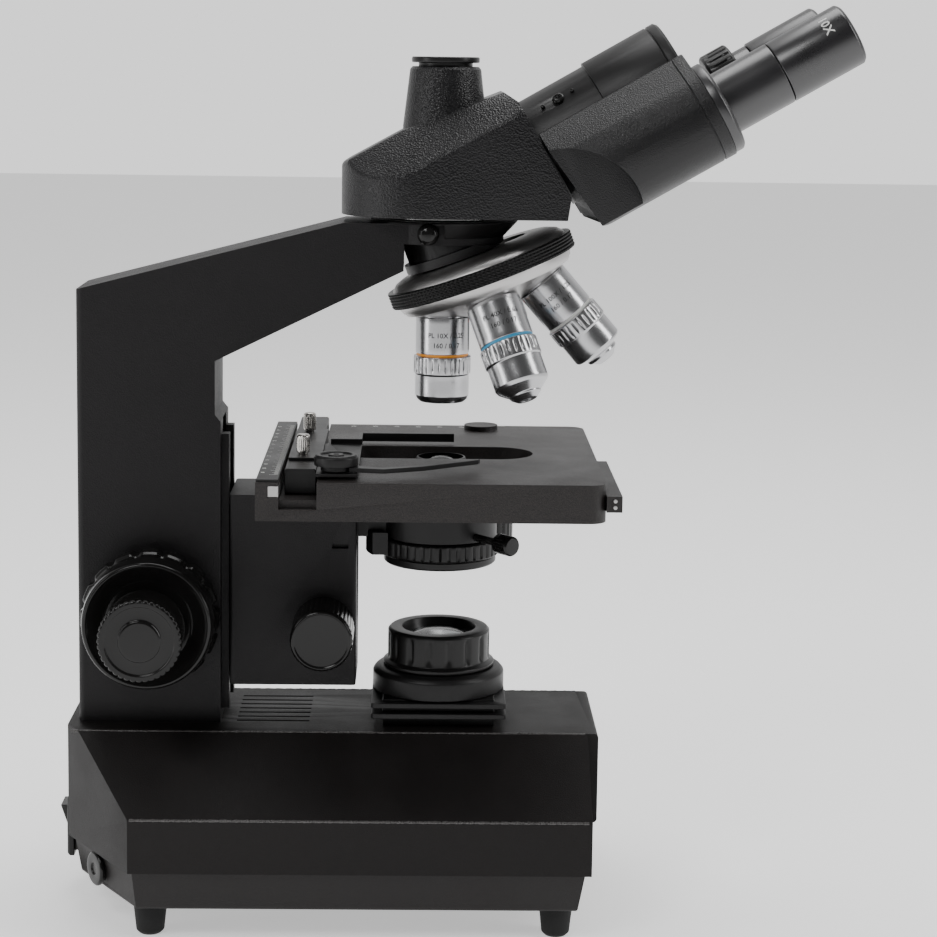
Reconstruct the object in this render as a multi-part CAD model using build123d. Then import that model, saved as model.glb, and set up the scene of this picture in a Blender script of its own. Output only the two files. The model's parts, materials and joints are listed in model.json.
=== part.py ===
"""Trinocular laboratory microscope: every piece is a separate STEP solid in one shared frame.

Sub-parts are modelled about the optical axis (X = 0, Y = 0, floor at Z = 0, observer towards +X)
and moved by AXIS_X, AXIS_Y on export, so the row's origin is the centre of the underside.
"""
import math
import os
from build123d import *

# ---- where the optical axis stands in the row frame
AXIS_X, AXIS_Y = -3.85, -2.35

# ---- fits
RUN = 0.05        # radial clearance of a turning shaft
GAP = 0.35        # clearance between sliding pieces

# ---- base
BASE_REAR, BASE_FRONT, BASE_NOSE = -159.5, 64.0, 68.7
BASE_HALF, DECK_HALF, REAR_HALF = 75.0, 34.6, 26.0
CHAMFER_X = -128.3
SEAM_Z, SIDE_Z, DECK_Z, NOSE_LOW_Z = 31.0, 54.0, 80.35, 41.0
PAN_Z, PAN_IN_TOP, PAN_IN_LOW = 13.7, 2.5, 5.4
WALL = 3.0
FOOT_X, FOOT_Y, FOOT_R_TOP, FOOT_R_LOW = (-120.7, 50.2), 58.0, 7.2, 5.9
VENT_X0, VENT_X1, VENT_Y, VENT_N, VENT_PITCH, VENT_W = -87.5, -56.0, 2.0, 7, 6.6, 1.7
SWITCH_Z, SWITCH_H, SWITCH_W, SWITCH_OUT = 29.5, 27.0, 20.0, 3.2
DIAL_X, DIAL_Z, DIAL_SHAFT = 24.0, 42.5, 4.0

# ---- illuminator
PLATE_HALF, PLATE_T = 29.0, 2.2
PLATE_Z = (84.6, 89.2)
COLLAR_Z0, COLLAR_Z1, COLLAR_R = 92.0, 102.2, 28.8
RING_Z1, RING_R, RING_OPEN_R, RING_FLUTES = 119.0, 22.3, 15.0, 16
LENS_R, LENS_TOP = 13.6, 117.6

# ---- arm
ARM_REAR, ARM_FRONT, ARM_HALF = -155.5, -96.65, 21.0
ARM_TOP_REAR_Z, ARM_TOP_Z, ARM_SLOPE_X = 267.9, 297.4, -42.5
ARM_UNDER_Z, ARM_NOSE_Z, NOSE_R = 238.0, 288.6, 25.8
CAVITY_FRONT, CAVITY_REAR, CAVITY_HALF = -103.0, -146.0, 15.0
LOCK_X, LOCK_Z, LOCK_SHAFT, LOCK_R = -6.8, 293.4, 2.0, 4.6

# ---- focus drive
FOCUS_X, FOCUS_Z = -123.0, 129.2
COARSE_R, COARSE_LOBE_R, COARSE_Y0, COARSE_Y1, COARSE_LOBES = 27.2, 29.5, 27.2, 49.0, 16
FINE_R, FINE_Y0, FINE_Y1, FINE_TEETH = 17.3, 51.5, 75.0, 40
COARSE_SHAFT_R, FINE_SHAFT_R = 6.0, 3.0
FOCUS_RACK_X = -116.6

# ---- stage bracket and condenser focus
BRACKET_REAR, BRACKET_FRONT, BRACKET_HALF, BRACKET_LOW = -90.5, -36.0, 20.0, 97.0
STAGE_LOW, STAGE_TOP = 180.3, 196.2
COND_KNOB_X, COND_KNOB_Z, COND_KNOB_R, COND_KNOB_Y = -49.9, 123.3, 13.3, 48.0

# ---- stage
STAGE_X0, STAGE_X1, STAGE_HALF = -75.7, 66.9, 76.8
LOWER_TOP = 184.0
SLOT_X0, SLOT_X1, SLOT_HALF = -45.0, 40.0, 16.0
CHANNEL_X0, CHANNEL_X1, CHANNEL_Z = -66.3, -50.9, 188.5
CARRIAGE_X0, CARRIAGE_X1, CARRIAGE_Y0, CARRIAGE_Y1 = -64.7, -51.7, -62.0, 79.0
DRUM_X, DRUM_Y, DRUM_R, DRUM_Z0, DRUM_Z1 = -43.5, -62.0, 9.1, 198.9, 205.6
COAX_X, COAX_Y, COAX_SHAFT, COAX_INNER = 19.0, 66.0, 4.0, 2.0
FRONT_ROD_Z = (186.9, 189.6)

# ---- condenser
IRIS_Z0, IRIS_Z1, IRIS_R, NECK_R = 152.1, 159.8, 26.0, 13.0
SEAT_Z, SEAT_TOP, SEAT_R = 160.1, 171.0, 20.25
CLAMP_Z, CLAMP_R, CLAMP_DIR = 162.6, 1.6, (0.62, -0.785, 0.0)
FILTER_Z0, FILTER_Z1, FILTER_PIVOT_Y, FILTER_PIN = 148.4, 151.7, 29.5, 2.0

# ---- nosepiece: the axis leans ALPHA from the optical axis and meets it at APEX_Z
ALPHA, APEX_Z, OBJ_L = 20.5, 320.5, 64.5
TURRET_R, RING_T0, RING_T1 = 41.8, 43.3, 50.1
RMS_R, DISC_SHIFT = 10.16, -7.0
OBJECTIVES = {                      # azimuth about the nosepiece axis, length below the shoulder
    "objective_10x": (180.0, 36.9),
    "objective_40x": (90.0, 44.0),
    "objective_100x": (0.0, 44.5),
    "objective_4x": (-90.0, 25.0),
}

# ---- head
HEAD_LOW, HEAD_HALF, DOVETAIL_R = 300.2, 34.0, 25.4
PHOTO_TOP, PHOTO_R, PHOTO_BORE = 363.2, 15.2, 11.6
TUBE_TILT = 30.0
FACE_TOP_X, FACE_TOP_Z = 30.1, 349.2
HUB_R, HUB_STEP_S, WING_S, PLATE_S = 26.0, 31.5, 62.8, 67.7
TUBE_Y, TUBE_N, WING_R = 32.0, -16.4, 20.5
TUBE_R, EYE_S0, EYE_S1, COLLAR_S = 13.5, 100.6, 134.4, 73.6
SCALLOP_S, SCALLOP_N, SCALLOP_R = -8.0, -28.5, 32.3

E = Vector(math.cos(math.radians(TUBE_TILT)), 0, math.sin(math.radians(TUBE_TILT)))
N = Vector(-math.sin(math.radians(TUBE_TILT)), 0, math.cos(math.radians(TUBE_TILT)))
FACE_TOP = Vector(FACE_TOP_X, 0, FACE_TOP_Z)
HUB = Plane(origin=FACE_TOP - N * HUB_R, x_dir=(0, 1, 0), z_dir=E)
SA, CA = math.sin(math.radians(ALPHA)), math.cos(math.radians(ALPHA))
TURRET = Plane(origin=(0, 0, APEX_Z), x_dir=(CA, 0, SA), z_dir=(SA, 0, -CA))


# ---- helpers
def block(x0, x1, y0, y1, z0, z1):
    """Box between two corners."""
    return Pos((x0 + x1) / 2, (y0 + y1) / 2, (z0 + z1) / 2) * Box(x1 - x0, y1 - y0, z1 - z0)


def rod(plane, r, t0, t1, x=0.0, y=0.0):
    """Cylinder along a plane's normal, from t0 to t1."""
    return plane * Pos(x, y, (t0 + t1) / 2) * Cylinder(r, t1 - t0)


def upright(x, y, r, z0, z1):
    return rod(Plane.XY, r, z0, z1, x, y)


def across(x, z, r, y0, y1):
    """Cylinder along Y."""
    return rod(Plane(origin=(x, 0, z), x_dir=(1, 0, 0), z_dir=(0, 1, 0)), r, y0, y1)


def turned(plane, profile):
    """Solid of revolution about a plane's normal from (radius, height) points."""
    face = make_face(Polyline(*[(r, 0, t) for r, t in profile], close=True))
    return plane * revolve(face, Axis.Z)


def side_plate(points, y0, y1):
    """Prism across Y from an outline of (x, z) points."""
    face = make_face(Polyline(*[(x, y0, z) for x, z in points], close=True))
    return extrude(face, amount=y1 - y0, dir=(0, 1, 0))


def around(shape, plane, count):
    """The shape repeated evenly around a plane's normal."""
    turn = [plane.location * Rot(0, 0, 360.0 * k / count) * plane.location.inverse() for k in range(count)]
    return [t * shape for t in turn]


def scalloped(body, plane, r, cut_r, t0, t1, count):
    """The body with round flutes cut around its rim."""
    cutter = rod(plane, cut_r, t0, t1, r)
    return body - around(cutter, plane, count)


def near_knob():
    return Plane(origin=(FOCUS_X, 0, FOCUS_Z), x_dir=(1, 0, 0), z_dir=(0, -1, 0))


def far_knob():
    return Plane(origin=(FOCUS_X, 0, FOCUS_Z), x_dir=(1, 0, 0), z_dir=(0, 1, 0))


def out(name, shape):
    shape = Pos(AXIS_X, AXIS_Y, 0) * shape
    solids = shape.solids() if hasattr(shape, "solids") else [shape]
    export_step(solids[0] if len(solids) == 1 else Compound(children=solids), f"parts/{name}.step")


# ---- base
def plan(inset):
    """Outline of the base: its rear corners are cut off."""
    rear, half = BASE_REAR + inset, BASE_HALF - inset
    return [(rear, -REAR_HALF + inset * 0.4), (CHAMFER_X + inset * 0.55, -half), (BASE_FRONT - inset, -half),
            (BASE_FRONT - inset, half), (CHAMFER_X + inset * 0.55, half), (rear, REAR_HALF - inset * 0.4)]


def plan_face(inset, z):
    return make_face(Polyline(*[(x, y, z) for x, y in plan(inset)], close=True))


def base_form(inset, z_low):
    """The cover's outside form, or its hollow when inset is its wall."""
    half, deck, top, side = BASE_HALF - inset, DECK_HALF - inset * 0.6, DECK_Z - inset, SIDE_Z - inset * 0.8
    prism = extrude(plan_face(inset, z_low), amount=top - z_low)
    roof = [(-half, z_low), (-half, side), (-deck, top), (deck, top), (half, side), (half, z_low)]
    face = make_face(Polyline(*[(BASE_REAR, y, z) for y, z in roof], close=True))
    return prism & extrude(face, amount=BASE_FRONT - BASE_REAR, dir=(1, 0, 0))


def base_cover():
    body = base_form(0, SEAM_Z)
    long_edges = [e for e in body.edges().filter_by(Axis.X) if e.center().Z > SEAM_Z + 5]
    body = fillet(long_edges, 1.8)
    nose = block(BASE_FRONT - 1, BASE_NOSE, -DECK_HALF, DECK_HALF, NOSE_LOW_Z, DECK_Z)
    nose_edges = [e for e in nose.edges().filter_by(Axis.Y) if e.center().X > BASE_FRONT]
    body += fillet(nose_edges, 1.8)
    body -= base_form(WALL, SEAM_Z - 1) - block(-200, 100, -90, 90, SEAM_Z - 5, SEAM_Z - 1)
    body -= upright(0, 0, 17.0, DECK_Z - 6, DECK_Z + 1)
    body -= upright(-126, 0, 7.0, DECK_Z - 6, DECK_Z + 1)
    for k in range(VENT_N):
        y = VENT_Y + (k - (VENT_N - 1) / 2) * VENT_PITCH
        body -= block(VENT_X0, VENT_X1, y - VENT_W / 2, y + VENT_W / 2, DECK_Z - 6, DECK_Z + 1)
    return body - switch_space()


def switch_space():
    """Room in the rear wall for the switch, and in the side walls for the inlet, dial and fuse."""
    z0, z1 = SWITCH_Z - SWITCH_H / 2 + 1.5, SWITCH_Z + SWITCH_H / 2 - 1.5
    hole = block(BASE_REAR - 1, BASE_REAR + 12, -SWITCH_W / 2 + 1.5, SWITCH_W / 2 - 1.5, z0, z1)
    cut = rod(inlet_plane(), 0.5, -1, 1) + inlet_plane() * Box(27.4, 19.6, 30)
    return hole + cut + across(DIAL_X, DIAL_Z, DIAL_SHAFT + RUN, 60, 90) + rod(fuse_plane(), 5.7, -17, 3)


def chamfer_plane(side, along, z):
    """Plane on a cut rear corner, facing out; along runs from the rear face to the side."""
    dx, dy = CHAMFER_X - BASE_REAR, BASE_HALF - REAR_HALF
    length = math.hypot(dx, dy)
    x, y = BASE_REAR + dx * along, REAR_HALF + dy * along
    return Plane(origin=(x, side * y, z), x_dir=(dx / length, side * dy / length, 0),
                 z_dir=(-dy / length, side * dx / length, 0))


def inlet_plane():
    return chamfer_plane(1, 0.52, 43.0)


def fuse_plane():
    """The fuse cap sits low on the near rear corner, on the pan's wall."""
    return chamfer_plane(-1, 0.40, 22.6)


def base_pan():
    outer = loft([plan_face(PAN_IN_TOP, SEAM_Z), plan_face(PAN_IN_LOW, PAN_Z)])
    inner = loft([plan_face(PAN_IN_TOP + WALL, SEAM_Z + 0.01), plan_face(PAN_IN_LOW + WALL, PAN_Z + WALL)])
    low_edges = [e for e in outer.edges() if abs(e.center().Z - PAN_Z) < 0.01]
    pan = fillet(low_edges, 2.0) - inner
    for x in FOOT_X:
        for y in (-FOOT_Y, FOOT_Y):
            pan += upright(x, y, 5.0, PAN_Z + WALL, PAN_Z + WALL + 6) - upright(x, y, 1.6, PAN_Z, 60)
    return pan - switch_space()


def rubber_feet():
    foot = turned(Plane.XY, [(2.6, 0), (FOOT_R_LOW - 1.4, 0), (FOOT_R_LOW, 1.4), (FOOT_R_TOP, PAN_Z),
                             (1.7, PAN_Z), (1.7, 5.0), (2.6, 5.0)])
    return Compound(children=[Pos(x, y, 0) * foot for x in FOOT_X for y in (-FOOT_Y, FOOT_Y)])


def rocker_bezel():
    """Frame of the power switch on the rear face."""
    x0 = BASE_REAR
    z0, z1 = SWITCH_Z - SWITCH_H / 2, SWITCH_Z + SWITCH_H / 2
    body = block(x0 - SWITCH_OUT, x0, -SWITCH_W / 2, SWITCH_W / 2, z0, z1)
    body = chamfer([e for e in body.edges() if e.center().X < x0 - SWITCH_OUT + 0.01], 1.0)
    body += block(x0, x0 + 9, -SWITCH_W / 2 + 1.9, SWITCH_W / 2 - 1.9, z0 + 1.9, z1 - 1.9)
    return body - block(x0 - 9, x0 + 7, -SWITCH_W / 2 + 3.4, SWITCH_W / 2 - 3.4, z0 + 3.2, z1 - 3.2)


def rocker():
    """Two-position switch rocker, pivoted across the frame; its top half stands out."""
    x, z, h = BASE_REAR - 0.2, SWITCH_Z, SWITCH_H / 2 - 5.0
    half = SWITCH_W / 2 - 3.75
    paddle = [(x - 6.2, z + h), (x - 3.3, z), (x - 3.0, z - h), (x - 0.4, z - h), (x + 1.2, z),
              (x - 0.8, z + h)]
    body = side_plate(paddle, -half, half) + across(x - 0.2, z, 2.3, -half, half)
    return body


def power_inlet():
    p = inlet_plane()
    body = p * Pos(0, 0, 1.2) * Box(32, 24, 2.4) + p * Pos(0, 0, -9) * Box(26.8, 19.0, 18)
    body -= p * Pos(0, 0, -5) * Box(22.6, 14.6, 18)
    for x in (-6.5, 0.0, 6.5):
        body += p * Pos(x, 2.0 if x == 0.0 else -2.0, -9) * Box(2.0, 5.0, 12)
    return body


def fuse_holder():
    p = fuse_plane()
    return turned(p, [(0, -15), (5.6, -15), (5.6, -2.7), (7.4, -2.7), (7.4, -1.5), (6.6, -0.9), (0, -0.9)])


def transformer():
    core = block(-112, -72, -24, 24, PAN_Z + WALL, 56)
    coil = block(-118, -66, -15, 15, PAN_Z + WALL + 5, 51)
    return core + coil


def lamp_socket():
    """Ceramic holder under the field lens."""
    body = block(-13, 13, -13, 13, PAN_Z + WALL, 36) + upright(0, 0, 9.0, 36, 42)
    return body - upright(0, 0, 6.2, 38, 43)


def halogen_lamp():
    return upright(0, 0, 6.1, 38, 50) + upright(0, 0, 4.6, 50, 58) + Pos(0, 0, 58) * Sphere(4.6)


def brightness_dial():
    """Thumb dial on the far side of the base, on its shaft."""
    plane = Plane(origin=(DIAL_X, 0, DIAL_Z), x_dir=(1, 0, 0), z_dir=(0, 1, 0))
    y = BASE_HALF
    body = turned(plane, [(0, y - 12), (DIAL_SHAFT, y - 12), (DIAL_SHAFT, y + 0.6), (11.0, y + 0.6),
                          (11.0, y + 5.5),
                          (10.0, y + 6.5), (0, y + 6.5)])
    return scalloped(body, plane, 11.8, 1.4, y + 1.2, y + 5.8, 24)


# ---- illuminator
def heat_plates():
    body = block(-24, 24, -24, 24, DECK_Z, COLLAR_Z0)
    for z in PLATE_Z:
        plate = block(-PLATE_HALF, PLATE_HALF, -PLATE_HALF, PLATE_HALF, z, z + PLATE_T)
        body += fillet(plate.edges().filter_by(Axis.Z), 1.5)
    return body - upright(0, 0, 17.0, DECK_Z - 1, COLLAR_Z0 + 1)


def illuminator_collar():
    return turned(Plane.XY, [(17.0, COLLAR_Z0), (COLLAR_R, COLLAR_Z0), (COLLAR_R, COLLAR_Z1 - 2.5),
                             (COLLAR_R - 1.4, COLLAR_Z1 - 0.8), (25.2, COLLAR_Z1), (17.0, COLLAR_Z1)])


def collector_ring():
    """Fluted ring that holds the field lens; it turns on the collar."""
    z0 = COLLAR_Z1 + GAP
    body = turned(Plane.XY, [(14.2, z0 - 6), (17.0 - RUN, z0 - 6), (17.0 - RUN, z0), (24.2, z0),
                             (24.4, z0 + 1.6), (RING_R, z0 + 2.6), (RING_R, RING_Z1 - 1.2),
                             (RING_R - 1.2, RING_Z1), (RING_OPEN_R + 1.2, RING_Z1),
                             (RING_OPEN_R, LENS_TOP - 3.0),
                             (14.2, LENS_TOP - 3.2)])
    return scalloped(body, Plane.XY, RING_R + 2.4, 3.4, z0 + 3.4, RING_Z1 - 1.6, RING_FLUTES)


def collector_lens():
    z0 = LENS_TOP - 3.4
    rise = LENS_TOP - z0
    ball_r = (LENS_R ** 2 + rise ** 2) / (2 * rise)
    dome = (Pos(0, 0, LENS_TOP - ball_r) * Sphere(ball_r)) & block(-20, 20, -20, 20, z0, LENS_TOP + 1)
    return dome + upright(0, 0, 14.15, z0 - 6, z0)


# ---- arm
def arm():
    outline = [(ARM_REAR, DECK_Z), (ARM_REAR, ARM_TOP_REAR_Z), (ARM_SLOPE_X, ARM_TOP_Z), (0, ARM_TOP_Z),
               (0, ARM_NOSE_Z), (-10, ARM_NOSE_Z), (-10, 280.6), (-17.5, 277.0), (ARM_FRONT, ARM_UNDER_Z),
               (ARM_FRONT, 215.0), (ARM_FRONT + 2.4, 212.0), (ARM_FRONT + 2.4, DECK_Z)]
    body = side_plate(outline, -ARM_HALF, ARM_HALF)
    body = fillet([e for e in body.edges().filter_by(Axis.Z) if e.center().X < ARM_REAR + 1], 3.0)
    body -= block(-17.0, 1, -30, 30, 270, ARM_NOSE_Z)
    body += upright(0, 0, NOSE_R, ARM_NOSE_Z, ARM_TOP_Z)
    body -= block(CAVITY_REAR, CAVITY_FRONT, -CAVITY_HALF, CAVITY_HALF, DECK_Z + 5, 225)
    body -= block(-110, -90, -8.6, 8.6, DECK_Z + 5, 212)
    body -= upright(-126, 0, 7.0, DECK_Z - 1, DECK_Z + 6)
    body -= across(FOCUS_X, FOCUS_Z, COARSE_SHAFT_R + RUN, -30, 30)
    body -= upright(0, 0, DOVETAIL_R - 4.4, 291.0, ARM_TOP_Z + 1) + upright(0, 0, 12.0, 270, 300)
    body -= rod(TURRET, 46.0, 38.3, 60.0)
    for side in (-1, 1):
        y = side * 12.5
        body += block(ARM_FRONT + 2.3, BRACKET_REAR - 0.5, y - 3.2, y + 3.2, DECK_Z + 5, 206)
    return body - across(LOCK_X, LOCK_Z, LOCK_SHAFT + RUN, -40, 0)


def head_socket():
    """Dark flange on the arm's nose that the head's dovetail drops into."""
    flange = turned(Plane.XY, [(21.0, ARM_TOP_Z), (31.4, ARM_TOP_Z), (31.9, ARM_TOP_Z + 0.6),
                               (31.4, ARM_TOP_Z + 1.2), (21.0, ARM_TOP_Z + 1.2)])
    skirt = turned(Plane.XY, [(NOSE_R, 291.4), (NOSE_R + 1.0, 292.4), (31.4, ARM_TOP_Z),
                              (NOSE_R, ARM_TOP_Z)])
    skirt -= block(-60, 0, -ARM_HALF, ARM_HALF, 280, ARM_TOP_Z) + block(-60, 0, -60, 60, 280, ARM_TOP_Z)
    return flange + skirt - across(LOCK_X, LOCK_Z, LOCK_R + GAP, -40, -20)


def head_lock_screw():
    y = math.sqrt(NOSE_R ** 2 - LOCK_X ** 2) + 0.6
    plane = Plane(origin=(LOCK_X, 0, LOCK_Z), x_dir=(1, 0, 0), z_dir=(0, -1, 0))
    return turned(plane, [(0, 21.6), (LOCK_SHAFT, 21.6), (LOCK_SHAFT, y + 0.6), (LOCK_R, y + 0.6),
                          (LOCK_R, y + 3.4),
                          (3.4, y + 5.2), (1.6, y + 6.0), (0, y + 6.2)])


# ---- focus knobs
def coarse_side(plane):
    lobed = turned(plane, [(COARSE_SHAFT_R - 0.5, COARSE_Y0), (COARSE_LOBE_R - 1, COARSE_Y0),
                           (COARSE_LOBE_R, COARSE_Y0 + 1), (COARSE_LOBE_R, COARSE_Y0 + 8.5),
                           (28.2, COARSE_Y0 + 10.0),
                           (COARSE_R + 0.4, COARSE_Y1 - 3.0), (COARSE_R, COARSE_Y1 - 0.8), (26.4, COARSE_Y1),
                           (25.4, COARSE_Y1), (24.6, COARSE_Y1 - 0.9), (19.0, COARSE_Y1 - 4.0),
                           (18.4, COARSE_Y1 - 4.6), (COARSE_SHAFT_R - 0.5, COARSE_Y1 - 4.6)])
    return scalloped(lobed, plane, COARSE_LOBE_R + 4.2, 5.6, COARSE_Y0 - 1, COARSE_Y0 + 10.5, COARSE_LOBES)


def coarse_knobs():
    """Both coarse knobs on their hollow shaft, with the pinion zone in the middle."""
    bore = FINE_SHAFT_R + RUN
    body = across(FOCUS_X, FOCUS_Z, COARSE_SHAFT_R, -COARSE_Y1 + 5, COARSE_Y1 - 5)
    body += coarse_side(near_knob()) + coarse_side(far_knob())
    return body - across(FOCUS_X, FOCUS_Z, bore, -80, 80)


def fine_side(plane):
    grip = turned(plane, [(0, FINE_Y0), (FINE_R - 0.8, FINE_Y0), (FINE_R - 0.6, FINE_Y1 - 7),
                          (FINE_R, FINE_Y1 - 5),
                          (FINE_R, FINE_Y1 - 0.9), (FINE_R - 0.9, FINE_Y1 - 0.3), (8.6, FINE_Y1 - 0.3),
                          (8.2, FINE_Y1), (0, FINE_Y1)])
    return scalloped(grip, plane, FINE_R + 0.9, 1.35, FINE_Y1 - 6, FINE_Y1 + 1, FINE_TEETH)


def fine_knobs():
    """Both fine knobs on the inner shaft."""
    shaft = across(FOCUS_X, FOCUS_Z, FINE_SHAFT_R, -FINE_Y0 - 1, FINE_Y0 + 1)
    body = shaft + fine_side(near_knob()) + fine_side(far_knob())
    return body - across(FOCUS_X + 5.2, FOCUS_Z - 1.5, 0.6, -FINE_Y1 - 1, -FINE_Y1 + 3)


# ---- stage bracket
def stage_bracket():
    """Block that carries the stage; a T-shaped slide on its back runs inside the arm."""
    body = block(BRACKET_REAR, BRACKET_FRONT, -BRACKET_HALF, BRACKET_HALF, BRACKET_LOW, STAGE_LOW)
    body = fillet(body.edges().filter_by(Axis.Z), 1.5)
    body += block(-103.6, BRACKET_REAR + 0.01, -8.2, 8.2, 104, 172)
    body += block(-109.0, CAVITY_FRONT - GAP, -13, 13, 104, 172)
    body += block(FOCUS_RACK_X, -108.9, -5, 5, 106, 170)
    body -= block(-46.6, -39.15, -12.4, 12.4, 99.5, 175)
    body -= block(-40, BRACKET_FRONT + 1, -8.4, 8.4, 121.5, 170)
    body -= across(COND_KNOB_X, COND_KNOB_Z, 3.0 + RUN, -30, 30)
    body -= across(COND_KNOB_X, COND_KNOB_Z, 3.9, -12.4, 12.4)
    return body - block(-46.5, -39.5, -BRACKET_HALF - 1, -BRACKET_HALF + 2.0, 157.4, 159.2)


def condenser_knobs():
    """Pair of grip knobs on the condenser's pinion shaft."""
    body = across(COND_KNOB_X, COND_KNOB_Z, 3.0, -COND_KNOB_Y + 3, COND_KNOB_Y - 3)
    body += across(COND_KNOB_X, COND_KNOB_Z, 3.35, -11.5, 11.5)
    for side in (-1, 1):
        plane = Plane(origin=(COND_KNOB_X, 0, COND_KNOB_Z), x_dir=(1, 0, 0), z_dir=(0, side, 0))
        y0, y1, r = BRACKET_HALF + 0.6, COND_KNOB_Y, COND_KNOB_R
        knob = turned(plane, [(2.9, y0), (r - 1.0, y0), (r, y0 + 1.0), (r, y1 - 1.0), (r - 1.0, y1),
                              (2.9, y1)])
        knob += rod(plane, 3.0, y1 - 3.1, y1)
        body += scalloped(knob, plane, r + 0.75, 1.15, y0 + 0.8, y1 - 1.2, 36)
    return body


# ---- stage
def stage_base():
    """Lower plate of the stage, fixed on the bracket; the upper plate slides over it."""
    plate = block(-70, 46, -61, 61, STAGE_LOW, LOWER_TOP - GAP)
    return plate - upright(0, 0, 24.0, STAGE_LOW - 1, LOWER_TOP + 1)


def stage_slab():
    body = block(STAGE_X0, STAGE_X1, -STAGE_HALF, STAGE_HALF, LOWER_TOP, STAGE_TOP)
    body += block(STAGE_X0, STAGE_X1, -STAGE_HALF, -67, STAGE_LOW, LOWER_TOP)
    body += block(STAGE_X0, STAGE_X1, 67, STAGE_HALF, STAGE_LOW, LOWER_TOP)
    body += block(STAGE_X1 - 5, STAGE_X1, -STAGE_HALF, STAGE_HALF, STAGE_LOW, LOWER_TOP)
    corner = [e for e in body.edges().filter_by(Axis.Z) if e.center().X > STAGE_X1 - 0.1]
    return fillet([e for e in corner if e.length > 10], 7.0)


def stage_top():
    body = stage_slab()
    slot = block(SLOT_X0 + SLOT_HALF, SLOT_X1 - SLOT_HALF, -SLOT_HALF, SLOT_HALF, 150, 250)
    for x in (SLOT_X0 + SLOT_HALF, SLOT_X1 - SLOT_HALF):
        slot += upright(x, 0, SLOT_HALF, 150, 250)
    body -= slot
    body -= block(CHANNEL_X0, CHANNEL_X1, -80, 80, CHANNEL_Z, 250)
    body -= block(CHANNEL_X0, CHANNEL_X1, -80, -STAGE_HALF + 3, 185.0, 250)
    body -= block(-70.8, -65.9, -80, 80, 190.0, 194.8)
    body -= upright(COAX_X, COAX_Y, COAX_SHAFT + RUN, 170, 190)
    body += upright(COAX_X, COAX_Y, 7.7, STAGE_TOP - 0.01, STAGE_TOP + 2.2)
    body += block(STAGE_X1 - 0.1, 73.2, -75.5, 9.6, 184.9, 191.5)
    for z in FRONT_ROD_Z:
        body -= front_rod(z, -75.9, 9.0)
    return body


def front_rod(z, y0, y1):
    return across(STAGE_X1 + 3.4, z, 0.8, y0, y1)


def stage_rails():
    """Bright guide strip in the stage's rear edge, and the two rods at its front end."""
    strip = block(-70.7, -66.4, -STAGE_HALF + 0.3, STAGE_HALF - 0.3, 190.1, 194.7)
    rods = [front_rod(z, -75.9, 9.0) for z in FRONT_ROD_Z]
    return Compound(children=[strip] + rods)


def scale_bar():
    return block(STAGE_X0 + 0.2, CHANNEL_X0 - 0.1, -STAGE_HALF + 0.6, STAGE_HALF - 0.6, STAGE_TOP,
                 STAGE_TOP + 1.1)


def slide_carriage():
    """Bar that runs along the stage's rear channel."""
    body = block(CARRIAGE_X0, CARRIAGE_X1, CARRIAGE_Y0, CARRIAGE_Y1, CHANNEL_Z + GAP, 199.3)
    return chamfer([e for e in body.edges().filter_by(Axis.Y) if e.center().Z > 195], 0.6)


def slide_holder():
    """Thin holder plate with its fixed jaw."""
    tongue = block(CARRIAGE_X0 + 0.5, CARRIAGE_X1 + 0.6, -42, 36, 199.3, 200.5)
    drop = block(CARRIAGE_X1 + 0.1, CARRIAGE_X1 + 1.3, -42, 36, 197.3, 200.5)
    plate = block(CARRIAGE_X1 + 0.1, -34.5, -70, 6, 197.3, 198.7)
    wall = block(-48.2, -34.5, 4.6, 6.0, 197.3, 201.0)
    blade = block(-35.9, 6.0, 21.4, 22.8, 197.3, 201.0) + block(-35.9, -34.5, 4.6, 22.8, 197.3, 201.0)
    return tongue + drop + plate + wall + blade


def thumb_screws():
    screws = []
    for y in (-33.0, 27.0):
        plane = Plane(origin=(-58.4, y, 0), z_dir=(0, 0, 1))
        head = turned(plane, [(0, 200.5), (2.0, 200.5), (2.0, 201.5), (2.8, 201.5), (2.8, 208.6),
                              (2.2, 209.2), (0, 209.2)])
        screws.append(scalloped(head, plane, 3.0, 0.45, 201.9, 208.2, 16))
    return Compound(children=screws)


def clip_drum():
    """Spring case of the slide clip."""
    plane = Plane(origin=(DRUM_X, DRUM_Y, 0), z_dir=(0, 0, 1))
    z0, z1, r = DRUM_Z0 + 2.3, DRUM_Z1, DRUM_R
    body = turned(plane, [(0, z0), (r, z0), (r, z1 - 1.0), (r - 0.8, z1), (r - 2.4, z1), (r - 2.8, z1 - 0.7),
                          (3.4, z1 - 0.7), (3.0, z1), (0, z1)])
    return body + rod(plane, 2.2, 198.7, z0)


def clip_arm():
    """Curved finger that presses the slide against the jaw."""
    ring = upright(DRUM_X, DRUM_Y, 6.4, DRUM_Z0 + 0.15, DRUM_Z0 + 2.0)
    pts = [(-38.0, -67.5), (-24.0, -70.2), (-8.0, -63.0), (15.0, -45.6), (15.9, -43.0), (13.6, -43.2),
           (-9.0, -59.4), (-24.0, -66.0), (-38.0, -61.0)]
    z0, z1 = DRUM_Z0 + 0.15, DRUM_Z0 + 2.0
    finger = extrude(make_face(Polyline(*[(x, y, z0) for x, y in pts], close=True)), amount=z1 - z0)
    return ring + finger - upright(DRUM_X, DRUM_Y, 2.2 + RUN, 190, 210)


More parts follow.
